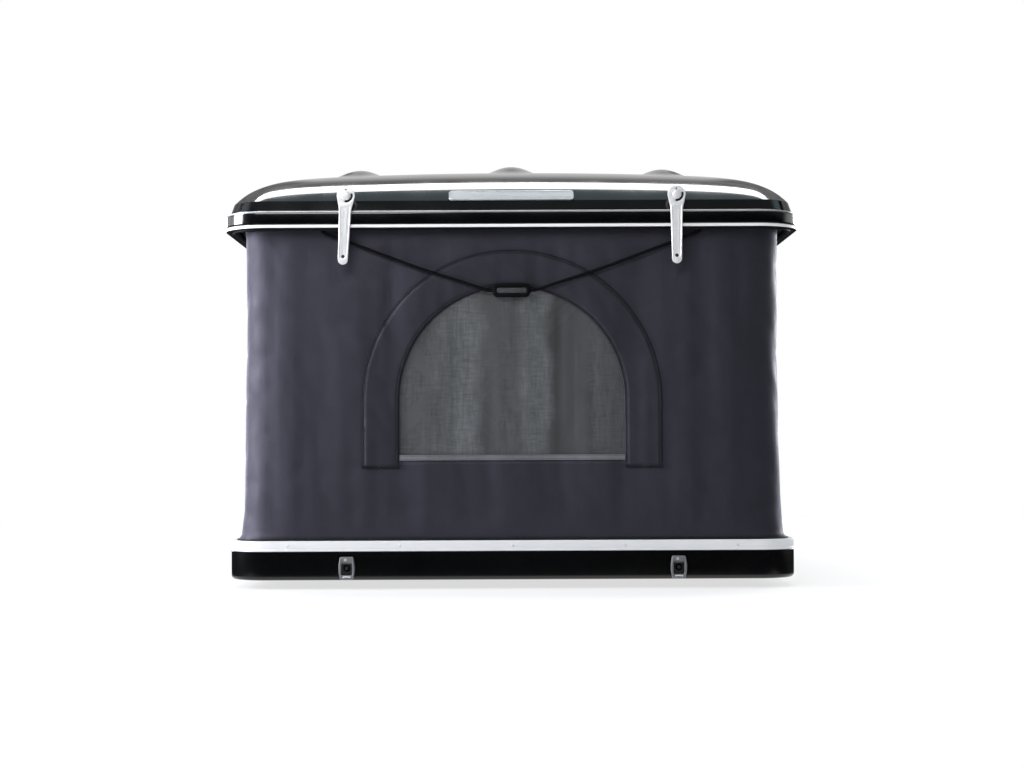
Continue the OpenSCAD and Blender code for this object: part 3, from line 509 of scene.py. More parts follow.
def ring_piece(name, foot, section, paint, body, node, soft, under=None):
    """A trim round the tent: its section's heights are above foot; under paints what faces in or down, as
    painted shade.
    """
    shape = Shape()
    sweep(shape, soften([(a, foot + z) for a, z in section], soft))
    obj = make(name, shape, paint, body, replaces=[node])
    if under:
        obj.data.materials.append(under)
        # Faces that turn in or down take the under paint: painted shade on the trim's hidden side
        for face in obj.data.polygons:
            inward = face.normal.xy.dot(face.center.xy) < -0.05
            face.material_index = int(inward or face.normal.z < -0.8)


def box_section(a, b, low, high):
    return [(a, low), (a, high), (b, high), (b, low)]


def on_face(k, u, z, inset):
    """Places local X along a wall, local Y up and local Z outward."""
    return spin(k * pi / 2, "Z") @ shift(u, inset - (HY, HX)[k % 2], z) @ spin(pi / 2, "X")


# Pull cord: its route is the solid's own

ROUTE = [(-425, 0, 0), (-425, 0, -6), (-424, 0, -12), (-420, 1, -17), (-410, 2, -21), (-380, 2, -32),
         (-340, 2, -47), (-300, 3, -62), (-260, 3, -77), (-220, 4, -92), (-180, 5, -106),
         (-140, 6, -119), (-100, 7, -132), (-70, 7, -142), (-55, 7, -147), (-41, 7, -148)]
CORD_X, CORD_Y, CORD_TOP, CORD_R = 425.0, 1021.0, 812.0, 3.5
HANDLE_Y, HANDLE_Z, HANDLE_W, HANDLE_T = 1028.0, 664.0, 82.0, 12.0


def spline(points, n):
    """A smooth curve through points."""
    p = [Vector(q) for q in points]
    p = [2 * p[0] - p[1], *p, 2 * p[-1] - p[-2]]
    out = []
    for a, b, c, d in zip(p, p[1:], p[2:], p[3:]):
        for i in range(n):
            t = i / n
            out.append(0.5 * (2 * b + (c - a) * t + (2 * a - 5 * b + 4 * c - d) * t * t
                              + (3 * b - a - 3 * c + d) * t ** 3))
    return [*out, p[-2]]


shape = Shape()
back = on_face(0, 0, HANDLE_Z, HY - HANDLE_Y + HANDLE_T / 2)
shape.plate(rounded(HANDLE_W, 30, 10), [rounded(66, 14.5, 4.5)], HANDLE_T, 2.8, back)
for s in (-1, 1):
    eye = shift(s * HANDLE_W / 2, -HANDLE_Y, HANDLE_Z) @ spin(s * pi / 2, "Y")
    shape.lathe([(5.6, -6), (5.6, -1.5), (4.6, 1.5), (4.2, 3)], eye, 16)
pull_handle = make("pull_handle_frame", shape, handle_black, "roof",
                   replaces=["pull_handle"], folds=RIM_Z)

shape = Shape()
shape.plate(rounded(67, 12.5, 3.5), [], 8, 1.6, on_face(0, 0, HANDLE_Z, HY - HANDLE_Y + 4))
for i in range(-9, 10):
    rib = on_face(0, i * 3.2, HANDLE_Z, HY - HANDLE_Y - 3.8)
    shape.plate(rounded(1.8, 10.5, 0.8, 3), [], 1.2, 0.5, rib)
pull_grip = make("pull_handle_grip", shape, grip_grey, "roof", folds=RIM_Z)

for side, s in (("left", 1), ("right", -1)):
    path = spline([(s * x, -CORD_Y - out, CORD_TOP + up) for x, out, up in ROUTE], 6)
    shape = Shape()
    shape.tube(path, oval(CORD_R, CORD_R, 14))
    cord = make(f"cord_{side}", shape, cord_black, "roof", replaces=[f"pull_cord_{side}"],
                folds=RIM_Z)

shape = Shape()
for s in (-1, 1):
    shape.lathe([(4.0, 0), (5, 0.6), (5, 2.4), (4.3, 3), (4.3, 6.6), (5, 7.2), (5, 9)],
                shift(s * CORD_X, -CORD_Y, CORD_TOP), 24)
make("cord_collars", shape, steel, "roof", replaces=["cord_ferrules"])


# Roof shell

DOME_X, DOME_Y, DOME_R = 631.0, 1031.0, 81.0
WALL_H, DOME_H = 62.0, 148.7
RIB_X, RIB_HALF, RIB_H, RIB_END = 367.0, 57.0, 17.0, 800.0


def dome(x, y):
    """Height above the rim: full shoulders, rounded corners and a slight crown."""
    u, v = DOME_X - abs(x), DOME_Y - abs(y)
    side = (1 - exp(-u / 41)) * (1 - 0.2 * (x / DOME_X) ** 2)
    end = 0.4 * (1 - exp(-v / 45)) + 0.6 * (1 - (abs(y) / DOME_Y) ** 2.2)
    near = min(u, v)
    if 0 < near and max(u, v) < DOME_R:
        side *= clamp((DOME_R - hypot(DOME_R - u, DOME_R - v)) / near)
    return WALL_H + DOME_H * side * end


def roof_top(x, y):
    t = min(abs(x), abs(abs(x) - RIB_X)) / RIB_HALF
    rib = (1 - t * t) ** 1.15 if t < 1 else 0.0
    return RIM_Z + dome(x, y) + RIB_H * rib * smooth((RIB_END - abs(y)) / 90)


def roof_under(x, y):
    inside = RIM_Z + dome(abs(x) + SHELL_T, abs(y)) - SHELL_T
    return inside + (PAD_Z - inside) * smooth((abs(y) - 900) / 20)


def half_width(y, half_x, half_y, r):
    t = abs(y) - half_y + r
    return half_x - r + (r if t <= 0 else sqrt(max(0.0, r * r - t * t)))


def slab_rows(half_y, r, size, turns=16):
    """Rows along Y, closer together round the corners."""
    bend = [half_y - r + r * cos(pi / 2 * i / turns) for i in range(turns + 1)]
    return [-b for b in bend] + steps(r - half_y, half_y - r, size)[1:-1] + bend[::-1]


def slab(xs, ys, top, under, half, inner, loops):
    """A closed skin: a top grid, loops down its edge and an under grid.
    Half and inner are (half width, half length, corner radius) of the two grids, and each loop is
    (0 for the top's edge or 1 for the under's, distance outward, height)."""
    shape = Shape()

    def rows(size, height):
        out = []
        for y in ys:
            v = y * size[1] / half[1]
            w = half_width(v, *size) / half[0]
            out.append([(x * w, v, height(x * w, v)) for x in xs])
        return out

    n, m = len(ys), len(xs)
    edge = ([(0, j) for j in range(m - 1)] + [(i, m - 1) for i in range(n - 1)]
            + [(n - 1, j) for j in range(m - 1, 0, -1)] + [(i, 0) for i in range(n - 1, 0, -1)])
    up, low = rows(half, top), rows(inner, under)
    a, b = shape.grid(up), shape.grid(low)
    rings = [[a + i * m + j for i, j in edge]]
    for which, out, z in loops:
        size, table = ((half, up), (inner, low))[which]
        ids = []
        for i, j in edge:
            x, y, _ = table[i][j]
            nx = copysign(max(0.0, abs(x) - size[0] + size[2]), x)
            ny = copysign(max(0.0, abs(y) - size[1] + size[2]), y)
            d = hypot(nx, ny) or 1.0
            ids.append(len(shape.verts))
            shape.verts.append((x + nx / d * out, y + ny / d * out, z))
        rings.append(ids)
    rings.append([b + i * m + j for i, j in edge])
    for p, q in zip(rings, rings[1:]):
        for i in range(len(edge)):
            j = (i + 1) % len(edge)
            shape.face([p[i], q[i], q[j], p[j]])
    return shape


roof_half = (DOME_X, DOME_Y, DOME_R)
roof_inner = (DOME_X - SHELL_T, DOME_Y - SHELL_T, DOME_R - SHELL_T)
sides = [DOME_X - 90 * (i / 14) ** 1.4 for i in range(14)]
roof_xs = [-x for x in sides] + steps(90 - DOME_X, DOME_X - 90, 10.5) + sides[::-1]
# The upright wall leans out to the ledge, and the skirt below it stands flush over the trim's lip
outside = [
    (0.25, 61.2), (0.9, 59.4), (2.8, 54), (6.6, 43.2), (7.6, 40.2), (8.2, 37.8), (8.7, 36.2), (9.6, 35),
    (10.8, 34.2), (12, 34), (15, 34), (17.7, 33.9), (18.4, 33.5), (18.75, 32.8), (18.8, 31), (18.8, 12),
    (18.3, 9.2), (16.8, 7.8), (15, 7.3), (15, 3)]
skirt = [(0, out, z) for out, z in outside] + [(1, 15, 3), (1, 15, 29), (1, 0, 29)]
shell = slab(roof_xs, slab_rows(DOME_Y, DOME_R, 12.5), roof_top, roof_under, roof_half, roof_inner,
             [(w, out, RIM_Z + z) for w, out, z in skirt])
make("roof_moulding", shell, gloss_black, "roof", 50, replaces=["roof_shell"])

lip = [(0, 0), (0, 7), (4, 7), (4, 3), (24, 3), (24, 0)]
# The trim's faces that turn in or down are painted black rubber, as painted shade
ring_piece("edge_trim", RIM_Z, lip, alloy, "roof", "roof_trim", 1.3, rubber)
bead = box_section(4.2, 9, 34, 38.2)
ring_piece("skirt_bead", RIM_Z, bead, bead_alloy, "roof", "roof_bead", 1.7)
bulb = [(15, 0), (15, -2.6), (16.6, -4.6), (19, -5), (21.4, -4.6), (23, -2.6), (23, 0)]
ring_piece("bulb_seal", RIM_Z, bulb, rubber, "roof", "rim_seal", 0.8)
rail = box_section(12, 34.7, -RAIL_H, 0)
ring_piece("canvas_rail", CANVAS_TOP, rail, strut_black, "roof", "canvas_frame", 1.5)

# Quilted lining under the dome
_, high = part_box("roof_liner")
liner_x, liner_y = high[0] / MM, high[1] / MM
LINER_GAP, LINER_T, LINER_PUFF, LINER_PADS = 0.4, 2.2, 4.2, (205, 203)


def quilt(x, y, px, py):
    """Height of a sewn pad between its seams, from 0 to 1."""
    return (abs(sin(pi * x / px)) * abs(sin(pi * y / py))) ** 0.42


def liner_face(x, y):
    edge = smooth((liner_x - abs(x)) / 14) * smooth((liner_y - abs(y)) / 14)
    return roof_under(x, y) - LINER_GAP - LINER_T - LINER_PUFF * quilt(x, y, *LINER_PADS) * edge


liner_half = (liner_x, liner_y, 0.01)
liner = slab(steps(-liner_x, liner_x, 12.8), steps(-liner_y, liner_y, 12.7),
             lambda x, y: roof_under(x, y) - LINER_GAP, liner_face, liner_half, liner_half, [])
liner = make("quilted_lining", liner, liner_felt, "roof", 60, replaces=["roof_liner"])

# Plain plate on the front slope
PLATE_W, PLATE_H = 280.0, 30.0
badge_y = DOME_Y - 8
slope = atan(dome(0, badge_y - 1) - dome(0, badge_y))
on_slope = shift(0, -badge_y, RIM_Z + dome(0, badge_y)) @ spin(slope, "X") @ shift(0, 0, 0.3)
shape = Shape()
shape.plate(rounded(PLATE_W, PLATE_H, 7.5), [], 1.8, 0.5, on_slope)
raised_edge = rounded(PLATE_W - 1, PLATE_H - 1, 7), [rounded(PLATE_W - 6, PLATE_H - 6, 5)]
shape.plate(*raised_edge, 2.5, 0.5, on_slope)
make("plain_plate", shape, plate_steel, "roof", replaces=["badge_plate"])


# Base

floor_in, floor_z = BASE_IN + SHELL_T, BASE_Z + SHELL_T
shape = Shape()
sweep(shape, [(floor_in + 40, floor_z), (floor_in + 4, floor_z), (floor_in + 1.2, floor_z + 1.2),
              (floor_in, floor_z + 4), (floor_in, BAND_Z), (BASE_IN + 1, BAND_Z), (BASE_IN, BAND_Z - 1),
              *arc(BASE_IN + 9, BASE_Z + 9, 9, 180, 270, 9), (BASE_IN + 45, BASE_Z)], False)
make("base_moulding", shape, gloss_black, "base", 40, replaces=["base_shell"])

band_in, band_h = BASE_IN + BAND_T, BAND_TOP - BAND_Z
grooved = [(BASE_IN, 0), (BASE_IN, 4), (BASE_IN + 0.8, 4.6), (BASE_IN + 0.8, 5.4), (BASE_IN, 6),
           (BASE_IN, band_h), (band_in, band_h), (band_in, 0)]
ring_piece("base_extrusion", BAND_Z, grooved, alloy, "base", "base_band", 1.4)

RIVET_PITCH, RIVET_UP = 250.0, 11.5
shape = Shape()
for k in range(4):
    for i in range(-2, 3) if k % 2 == 0 else range(-3, 4):
        shape.lathe([(3.5, -0.3), (3.5, 0.35), (2.9, 0.85), (1.7, 1.12), (0.3, 1.2)],
                    on_face(k, i * RIVET_PITCH, BAND_Z + RIVET_UP, BASE_IN), 20)
make("band_rivet_heads", shape, latch_steel, "base", replaces=["band_rivets"])

# Mattress: a quilted foam pad with piped edges
MAT_X, MAT_Y, MAT_R, MAT_LOW, MAT_T = 590.0, 931.0, 45.0, 43.0, 60.0
MAT_EDGE, PADS_ACROSS, PADS_ALONG = 14.0, 6, 9
mat_in = (MAT_X - MAT_EDGE, MAT_Y - MAT_EDGE, MAT_R - MAT_EDGE)
seam_x, seam_y = 2 * mat_in[0] / PADS_ACROSS, 2 * mat_in[1] / PADS_ALONG


def mattress_top(x, y):
    edge = min(mat_in[0] - abs(x), mat_in[1] - abs(y))
    puff = quilt(x, y, seam_x, seam_y)
    return MAT_LOW + MAT_T - 5 + 8 * smooth(edge / 200) + (2 + 3.5 * smooth(edge / 60)) * puff


def unsewn(x, y, z):
    """True where the mattress cover is free to swell: its top, away from the seams."""
    seam = min(abs(sin(pi * x / seam_x)), abs(sin(pi * y / seam_y)))
    return seam > 0.1 and z > MAT_LOW + MAT_T - 4 and abs(x) < mat_in[0] - 6 and abs(y) < mat_in[1] - 6


sag = [(3.5, 56.5), (10.5, 53.5), (14, 46), (12.6, 38), (9.4, 30), (12.6, 22), (14, 14), (10.5, 5),
       (4, 0.8)]
pad = slab(steps(-mat_in[0], mat_in[0], 12), slab_rows(mat_in[1], mat_in[2], 12, 8), mattress_top,
           lambda x, y: MAT_LOW, mat_in, mat_in, [(0, out, MAT_LOW + z) for out, z in sag])
pad = make("quilted_mattress", pad, cover_cloth, "base", 70, replaces=["mattress"])
swell(pad, unsewn, 9.0)

shape = Shape()
outline = rounded(2 * MAT_X - 4, 2 * MAT_Y - 4, MAT_R, 10)
for z in (10.5, 50.5):
    shape.tube([(x, y, MAT_LOW + z) for x, y in outline], oval(2.6, 2.6, 10), True)
make("mattress_piping", shape, piping_cloth, "base")


# Canvas walls

def wave(x, y, z):
    return noise.noise(Vector((x, y, z)))


# How far in the canvas stands at its foot, how much more at its top, and how far it is pulled in between
FOOT_IN, TOP_IN, SIDE_PULL, END_PULL = 29.0, 6.0, 13.0, 22.0


def rise(z):
    """Share of the canvas's height."""
    return (z - BAND_TOP) / (CANVAS_TOP - BAND_TOP)


def inset_at(z):
    return FOOT_IN + TOP_IN * rise(z)


def tension(z):
    """Share of the full pull on the cloth at a height: none at the band and the rail."""
    return sin(pi * clamp(rise(z))) ** 0.25


def waist(z):
    """How far the side walls pull in between the band and the roof."""
    return SIDE_PULL * tension(z)


def drawn_in(x, y, z):
    """A point of the canvas, drawn back from the end walls towards the corners."""
    near = smooth((abs(x) - 470) / 130) * smooth((abs(y) - 840) / 150)
    return Vector((x, y - copysign(END_PULL * near * tension(z), y), z))


def billow(x, y, z, on_end):
    """How far the cloth stands out from its plain wall: broad folds on the ends and small wrinkles."""
    t = clamp(rise(z))
    broad = 3 * sin(pi * t) * cos(tau * x / 180) * (1 - (x / CX) ** 4) if on_end else 0.0
    ease = smooth(t / 0.1) * smooth((1 - t) / 0.12)
    streak = wave(x / 27, y / 27, z / 460)
    loose = wave(x / 120 + 9, y / 120, z / 170)
    slant = wave((x + 0.45 * z) / 60, (y + 0.45 * z) / 60 + 4, z / 260)
    crease = (1 - abs(slant)) ** 7
    more = 1.0 if on_end else 1.5
    out = broad + ease * (2.1 * streak + more * (2.0 * loose - 1.8 * crease))
    return clamp(out, -6.0, 3.4 - 2.6 * smooth((z - 690) / 100))


def on_plan(k, u, d):
    """The point u along wall k, at a distance d from the middle of the tent."""
    c, s = WALL_TURN[k]
    return c * u + s * d, s * u - c * d


def on_wall(k, u, z, lift=0.0):
    """A point on a canvas wall, lifted outward from the cloth."""
    c, s = WALL_TURN[k]
    x, y = on_plan(k, u, (HY, HX)[k % 2] - inset_at(z) - (waist(z) if k % 2 else 0.0))
    out = billow(x, y, z, k % 2 == 0) + lift
    return drawn_in(x + s * out, y - c * out, z)


def near_edge(u, z, half, r, foot, top):
    """Signed distance to an opening's outline and the nearest point on it."""
    knee, shoulder = half - r, top - r
    if z > shoulder and abs(u) > knee:
        a, b = abs(u) - knee, z - shoulder
        d = hypot(a, b)
        return d - r, (copysign(knee + a * r / d, u), shoulder + b * r / d)
    side, below, above = abs(u) - half, foot - z, z - top
    if side >= max(below, above):
        return side, (copysign(half, u), clamp(z, foot, top))
    return max(below, above), (clamp(u, -half, half), foot if below > above else top)


CELL = 11.0
levels = run_through([BAND_TOP, DOOR_FOOT, WINDOW_FOOT, WINDOW_Z, DOOR_TOP - DOOR_R, DOOR_TOP, RIM_Z,
                      CANVAS_TOP], CELL)
across = run_through([-CX, -WINDOW_R, WINDOW_R, CX], CELL)
along = run_through([-CY, -DOOR_HALF, DOOR_R - DOOR_HALF, DOOR_HALF - DOOR_R, DOOR_HALF, CY], CELL)


def settle(u, z, opening, reach):
    """Moves a point onto an opening's edge if it is close, and says if it is inside (-1) or outside (1)."""
    d, spot = near_edge(u, z, *opening)
    if abs(d) < reach:
        return (*spot, 0)
    return (u, z, -1 if d < 0 else 1)


def cut_grid(rows, uv, closed):
    """Quads over rows of (point, state), leaving out the points whose state is -1."""
    shape, m, ids = Shape(), len(rows[0]), {}
    for i in range(len(rows) - 1):
        for j in range(m if closed else m - 1):
            cells = [(i, j), (i, j + 1), (i + 1, j + 1), (i + 1, j)]
            cells = [(a, b) for a, b in cells if rows[a][b % m][1] >= 0]
            if len(cells) > 2 and any(rows[a][b % m][1] > 0 for a, b in cells):
                spots = [uv(a, b) for a, b in cells]
                shape.face([ids.setdefault((a, b % m), len(ids)) for a, b in cells], spots)
    shape.verts = [tuple(rows[a][b][0]) for a, b in ids]
    return shape


plan = walk(across, along, 8)
rows = []
for z in levels:
    row = []
    for cx, cy, nx, ny, k, u in plan:
        if k is None:
            d = R - inset_at(z) - waist(z) * nx * nx
            x, y = cx + nx * d, cy + ny * d
            out = billow(x, y, z, False)
            row.append((drawn_in(x + nx * out, y + ny * out, z), 1))
        else:
            a, b, state = settle(u, z, (WINDOW, DOOR)[k % 2], CELL * 0.52)
            row.append((on_wall(k, a, b), state))
    rows.append(row)
run = lengths(plan_ring(30, 0, plan))
shape = cut_grid(rows, lambda i, j: (run[j], levels[i]), True)
canvas = make("canvas_walls", shape, canvas_cloth, "base", 60, False, ["canvas"], BAND_TOP)
thicken(canvas, 1.6)


# Paths on the walls: each row is a point and the direction outward from the opening

PATH_STEP = 9.0


def mirrored(path):
    return [((-u, z), (-a, b)) for (u, z), (a, b) in reversed(path)]


def bend(u, z, r, angles):
    return [((u - r * cos(a), z + r * sin(a)), (-cos(a), sin(a))) for a in angles]


def arch_path(r):
    left = [((-r, z), (-1, 0)) for z in steps(ARCH_FOOT, WINDOW_Z, PATH_STEP)]
    n = round(pi * r / PATH_STEP)
    return left + bend(0, WINDOW_Z, r, [pi * i / n for i in range(1, n)]) + mirrored(left)


def door_path(out=0.0):
    half, r, foot, top = DOOR_HALF + out, DOOR_R + out, DOOR_FOOT - out, DOOR_TOP + out
    knee, shoulder = half - r, top - r
    n = round(pi / 2 * r / PATH_STEP)
    left = [((-half, z), (-1, 0)) for z in steps(foot, shoulder, PATH_STEP)]
    left += bend(-knee, shoulder, r, [pi / 2 * i / n for i in range(1, n)])
    lintel = [((u, top), (0, 1)) for u in steps(-knee, knee, PATH_STEP)]
    sill = [((u, foot), (0, -1)) for u in steps(half, -half, PATH_STEP)[1:-1]]
    return left + lintel + mirrored(left) + sill


def band(shape, k, path, section, closed=False):
    """Runs a closed section of (outward from the opening, off the cloth) points along a path."""
    rows = [[on_wall(k, u + a * o, z + b * o, h) for o, h in section] for (u, z), (a, b) in path]
    run, over = lengths([row[0] for row in rows]), lengths(section)
    shape.loft(rows, closed, lambda i, j: (run[i], over[j]))


def tape(a, b, low, high):
    """Section of a flat tape with soft edges."""
    e = min((high - low) / 2, (b - a) / 4)
    return [(a, low), (a, high - e * 0.6), (a + e, high), (b - e, high), (b, high - e * 0.6), (b, low)]


def along_path(path, pitch):
    """Places at a steady pitch along a path, with the direction along it."""
    points = [Vector(p) for p, _ in path]
    out, need, at = [], pitch / 2, 0.0
    for a, b in zip(points, points[1:]):
        d = (b - a).length
        while need <= at + d and d > 0:
            out.append((a + (b - a) * ((need - at) / d), (b - a) / d))
            need += pitch
        at += d
    return out


def dress(shape, k, path, offset, pitch, size, lift):
    """Small blocks along a path: the teeth of a zip or the stitches of a seam."""
    c, s = WALL_TURN[k]
    for p, t in along_path(path, pitch):
        u, z = p + Vector((-t.y, t.x)) * offset
        a = on_wall(k, u, z, lift)
        x = (on_wall(k, u + t.x, z + t.y, lift) - a).normalized()
        y = Vector((s, -c, 0)).cross(x).normalized()
        m = Matrix((x, y, x.cross(y))).transposed().to_4x4()
        m.translation = a
        shape.block(m, size)


def sew(name, shape, paint, sharp=32):
    """A piece on the canvas, on the base with it, with a mesh of its own."""
    make(name, shape, paint, "base", sharp, folds=BAND_TOP)


ARCH_MID, ARCH_HALF = 294.0, 37.0
STITCH, STITCH_PITCH = (3.4, 0.8, 0.7), 5.2
NET_GROW, NET_STEP = 7.0, 9.0
net_r, net_foot, net_top = WINDOW_R + NET_GROW, WINDOW_FOOT - NET_GROW, WINDOW_Z + WINDOW_R + NET_GROW
for end, k in (("front", 0), ("rear", 2)):
    panel = Shape()
    wide = steps(-ARCH_HALF, ARCH_HALF, 7.4)
    crown = [1.4 + 1.2 * sin(pi * (o + ARCH_HALF) / (2 * ARCH_HALF)) ** 0.5 for o in wide]
    panel.grid([[on_wall(k, u + a * o, z + b * o, h) for o, h in zip(wide, crown)]
                for (u, z), (a, b) in arch_path(ARCH_MID)], uv=lambda i, j: (i * PATH_STEP, wide[j]))
    flap = make(f"{end}_arch_panel", panel, panel_cloth, "base", 60, False, folds=BAND_TOP)
    thicken(flap, 1.2)

    trim, teeth, sewn, edge = Shape(), Shape(), Shape(), Shape()
    for r in (WINDOW_R + 5, ARCH_R):
        line = arch_path(r)
        band(trim, k, line, tape(-3.6, 3.6, 0.4, 1.9))
        dress(teeth, k, line, 0, 3.0, (1.8, 3.0, 1.2), 2.4)
        for o in (-7, 7):
            dress(sewn, k, line, o, STITCH_PITCH, STITCH, 1.9)
    for s in (-1, 1):
        foot = [((s * u, ARCH_FOOT), (0, -1)) for u in steps(WINDOW_R + 1, ARCH_R + 4, PATH_STEP)]
        band(trim, k, foot, tape(-4.5, 2.5, 0.4, 3.8))
    sill = [((u, WINDOW_FOOT), (0, -1)) for u in steps(-WINDOW_R, WINDOW_R, PATH_STEP)]
    band(edge, k, sill, tape(-11, 1, 0.3, 2.6))
    for o in (8.5, 2.0):
        dress(sewn, k, sill, o, STITCH_PITCH, STITCH, 2.8)
    sew(f"{end}_arch_tape", trim, hem_cloth, sharp=40)
    sew(f"{end}_arch_zip", teeth, zip_black)
    sew(f"{end}_arch_stitching", sewn, thread)
    sew(f"{end}_window_hem", edge, edge_cloth, sharp=40)

    # Net, behind the canvas edge, hanging in soft upright folds
    us = steps(-net_r, net_r, NET_STEP)
    zs = run_through([net_foot, WINDOW_Z, net_top], NET_STEP)
    rows = []
    for z in zs:
        row = []
        for u in us:
            a, b, state = settle(u, z, (net_r, net_r, net_foot, net_top), 4.8)
            folds = 3.0 * wave(a / 17, k, b / 700) + 2.2 * wave(a / 60, k + 3, b / 300)
            hang = smooth(-near_edge(a, b, *WINDOW)[0] / 60) * folds
            row.append((on_wall(k, a, b, -3.2 + hang), -state))
        rows.append(row)
    net = make(f"{end}_window_net", cut_grid(rows, lambda i, j: (us[j], zs[i]), False), window_net, "base",
               70, True, ["window_nets"] if end == "front" else [], BAND_TOP)

ROLL_Z, ROLL_SAG, ROLL_WIDE, ROLL_TALL = RIM_Z - 79, 1.5, 0.82, 1.06
ROLL_TURNS, ROLL_IN, ROLL_OUT, ROLL_STEPS = 10, 2.5, 13.4, 22
TIE_X, TIE_R = 330, 12.6
mid = HX - inset_at(ROLL_Z) - waist(ROLL_Z) + TIE_R
for side, k in (("right", 1), ("left", 3)):
    trim, teeth, sewn = Shape(), Shape(), Shape()
    band(trim, k, door_path(), tape(-7, 7, -2.2, 1.8), True)
    line = door_path(16.0)
    band(trim, k, line, tape(-7, 7, 0.3, 1.6), True)
    line.append(line[0])
    dress(teeth, k, line, 0, 4.2, (2.6, 4.6, 1.6), 2.1)
    for o in (-5.4, 5.4):
        dress(sewn, k, line, o, 6.0, (3.6, 0.8, 0.7), 1.7)
    sew(f"{side}_door_binding", trim, hem_cloth, sharp=40)
    sew(f"{side}_door_zip", teeth, zip_black)
    sew(f"{side}_door_stitching", sewn, thread)

    # Rolled-up door: cloth wound in a spiral, pressed a little flat by its ties
    rows, spots, last = [], steps(-DOOR_HALF, DOOR_HALF, 22), ROLL_TURNS * ROLL_STEPS
    for u in spots:
        near = min(abs(u), abs(abs(u) - TIE_X))
        full = 1.0 - 0.14 * exp(-(near / 26) ** 2) + 0.03 * wave(u / 70, k, 0)
        z = ROLL_Z - ROLL_SAG * (1 - (2 * near / TIE_X) ** 2)
        row = []
        for i in range(last + 1):
            a = tau * i / ROLL_STEPS
            r = (ROLL_IN + (ROLL_OUT - ROLL_IN) * i / last) * full
            r += 0.35 * wave(u / 45, cos(a) * 1.5, sin(a) * 1.5 + k)
            row.append((*on_plan(k, u, mid + ROLL_WIDE * r * cos(a)), z + ROLL_TALL * r * sin(a)))
        rows.append(row)
    shape = Shape()
    shape.grid(rows, uv=lambda i, j: (spots[i], j * 2.4))
    roll = make(f"{side}_door_roll", shape, panel_cloth, "base", 70, False,
                ["door_rolls"] if side == "right" else [], BAND_TOP)
    ties = Shape()
    for u in (-TIE_X, 0, TIE_X):
        rows = []
        for w, h in ((-11, 0), (-10.4, 0.9), (10.4, 0.9), (11, 0), (10.4, -0.4), (-10.4, -0.4)):
            rows.append([])
            for x, z in oval(ROLL_WIDE * TIE_R, ROLL_TALL * TIE_R, 28):
                n = Vector((x, z)).normalized() * h
                rows[-1].append((*on_plan(k, u + w, mid + x + n.x), ROLL_Z - ROLL_SAG + z + n.y))
        ties.grid(rows, True, True, lambda i, j: (i * 4.0, j * 2.9))
        toggle = spin(k * pi / 2, "Z") @ shift(u, -mid - 11.0, ROLL_Z - 2)
        ties.tube([toggle @ Vector((0, 0.2, h)) for h in (-12, -11, -4, 0, 4, 11, 12)], oval(2.0, 2.0, 8))
    sew(f"{side}_door_ties", ties, webbing)

# Beading that holds the foot of the canvas on the band
shape = Shape()
sweep(shape, arc(27.8, BAND_TOP + 1.7, 1.8, 0, 330, 11))
make("canvas_beading", shape, rubber, "base")


# Latches

def upright(place, y, z, lean=0.0):
    """Local X across, local Y up and local Z outward from a plane at Y, turned about that axis."""
    return place @ shift(0, -y, z) @ spin(pi / 2, "X") @ spin(-lean, "Z")


def strap_half(v):
    """Half width of the strap at a height below its pivot."""
    return 13.4 - 2.4 * clamp((-v - 30) / (STRAP_REACH - 30))


STRAP_LEAN, STRAP_T, STRAP_END, STRAP_TIP_R = radians(2.7), 3.0, 18.0, 11.0
neck = [(13.4, -34), (13.9, -29), (15.2, -23), (17.4, -15)]
strap = (arc(0, 0, 20, -20, 200, 36) + [(-x, y) for x, y in reversed(neck)]
         + arc(0, STRAP_TIP_R - STRAP_END - STRAP_REACH, STRAP_TIP_R, 180, 360, 16) + neck)
curved_slot = arc(0, 0, 15.8, -100, 22, 20) + arc(0, 0, 10.6, 22, -100, 20)
strap_holes = [arc(0, 0, 5.1, 0, 345, 23), soften(curved_slot, 1.6, 2), arc(0, -STRAP_REACH, 4, 0, 340, 17),
               arc(0, 13.2, 1.9, 0, 330, 11)]
bulging = soften([(-14.8, -25), (14.8, -25), (17.8, -6.25), (17.8, 6.25), (14.8, 25), (-14.8, 25),
                  (-17.8, 6.25), (-17.8, -6.25)], 3.5, 4)
ramp = [(16, 0.1), (16, 5.6), (13, 5.2), (9.6, 1.6), (9.2, 0.1)]
rivets, frames, backs, lips = Shape(), Shape(), Shape(), Shape()
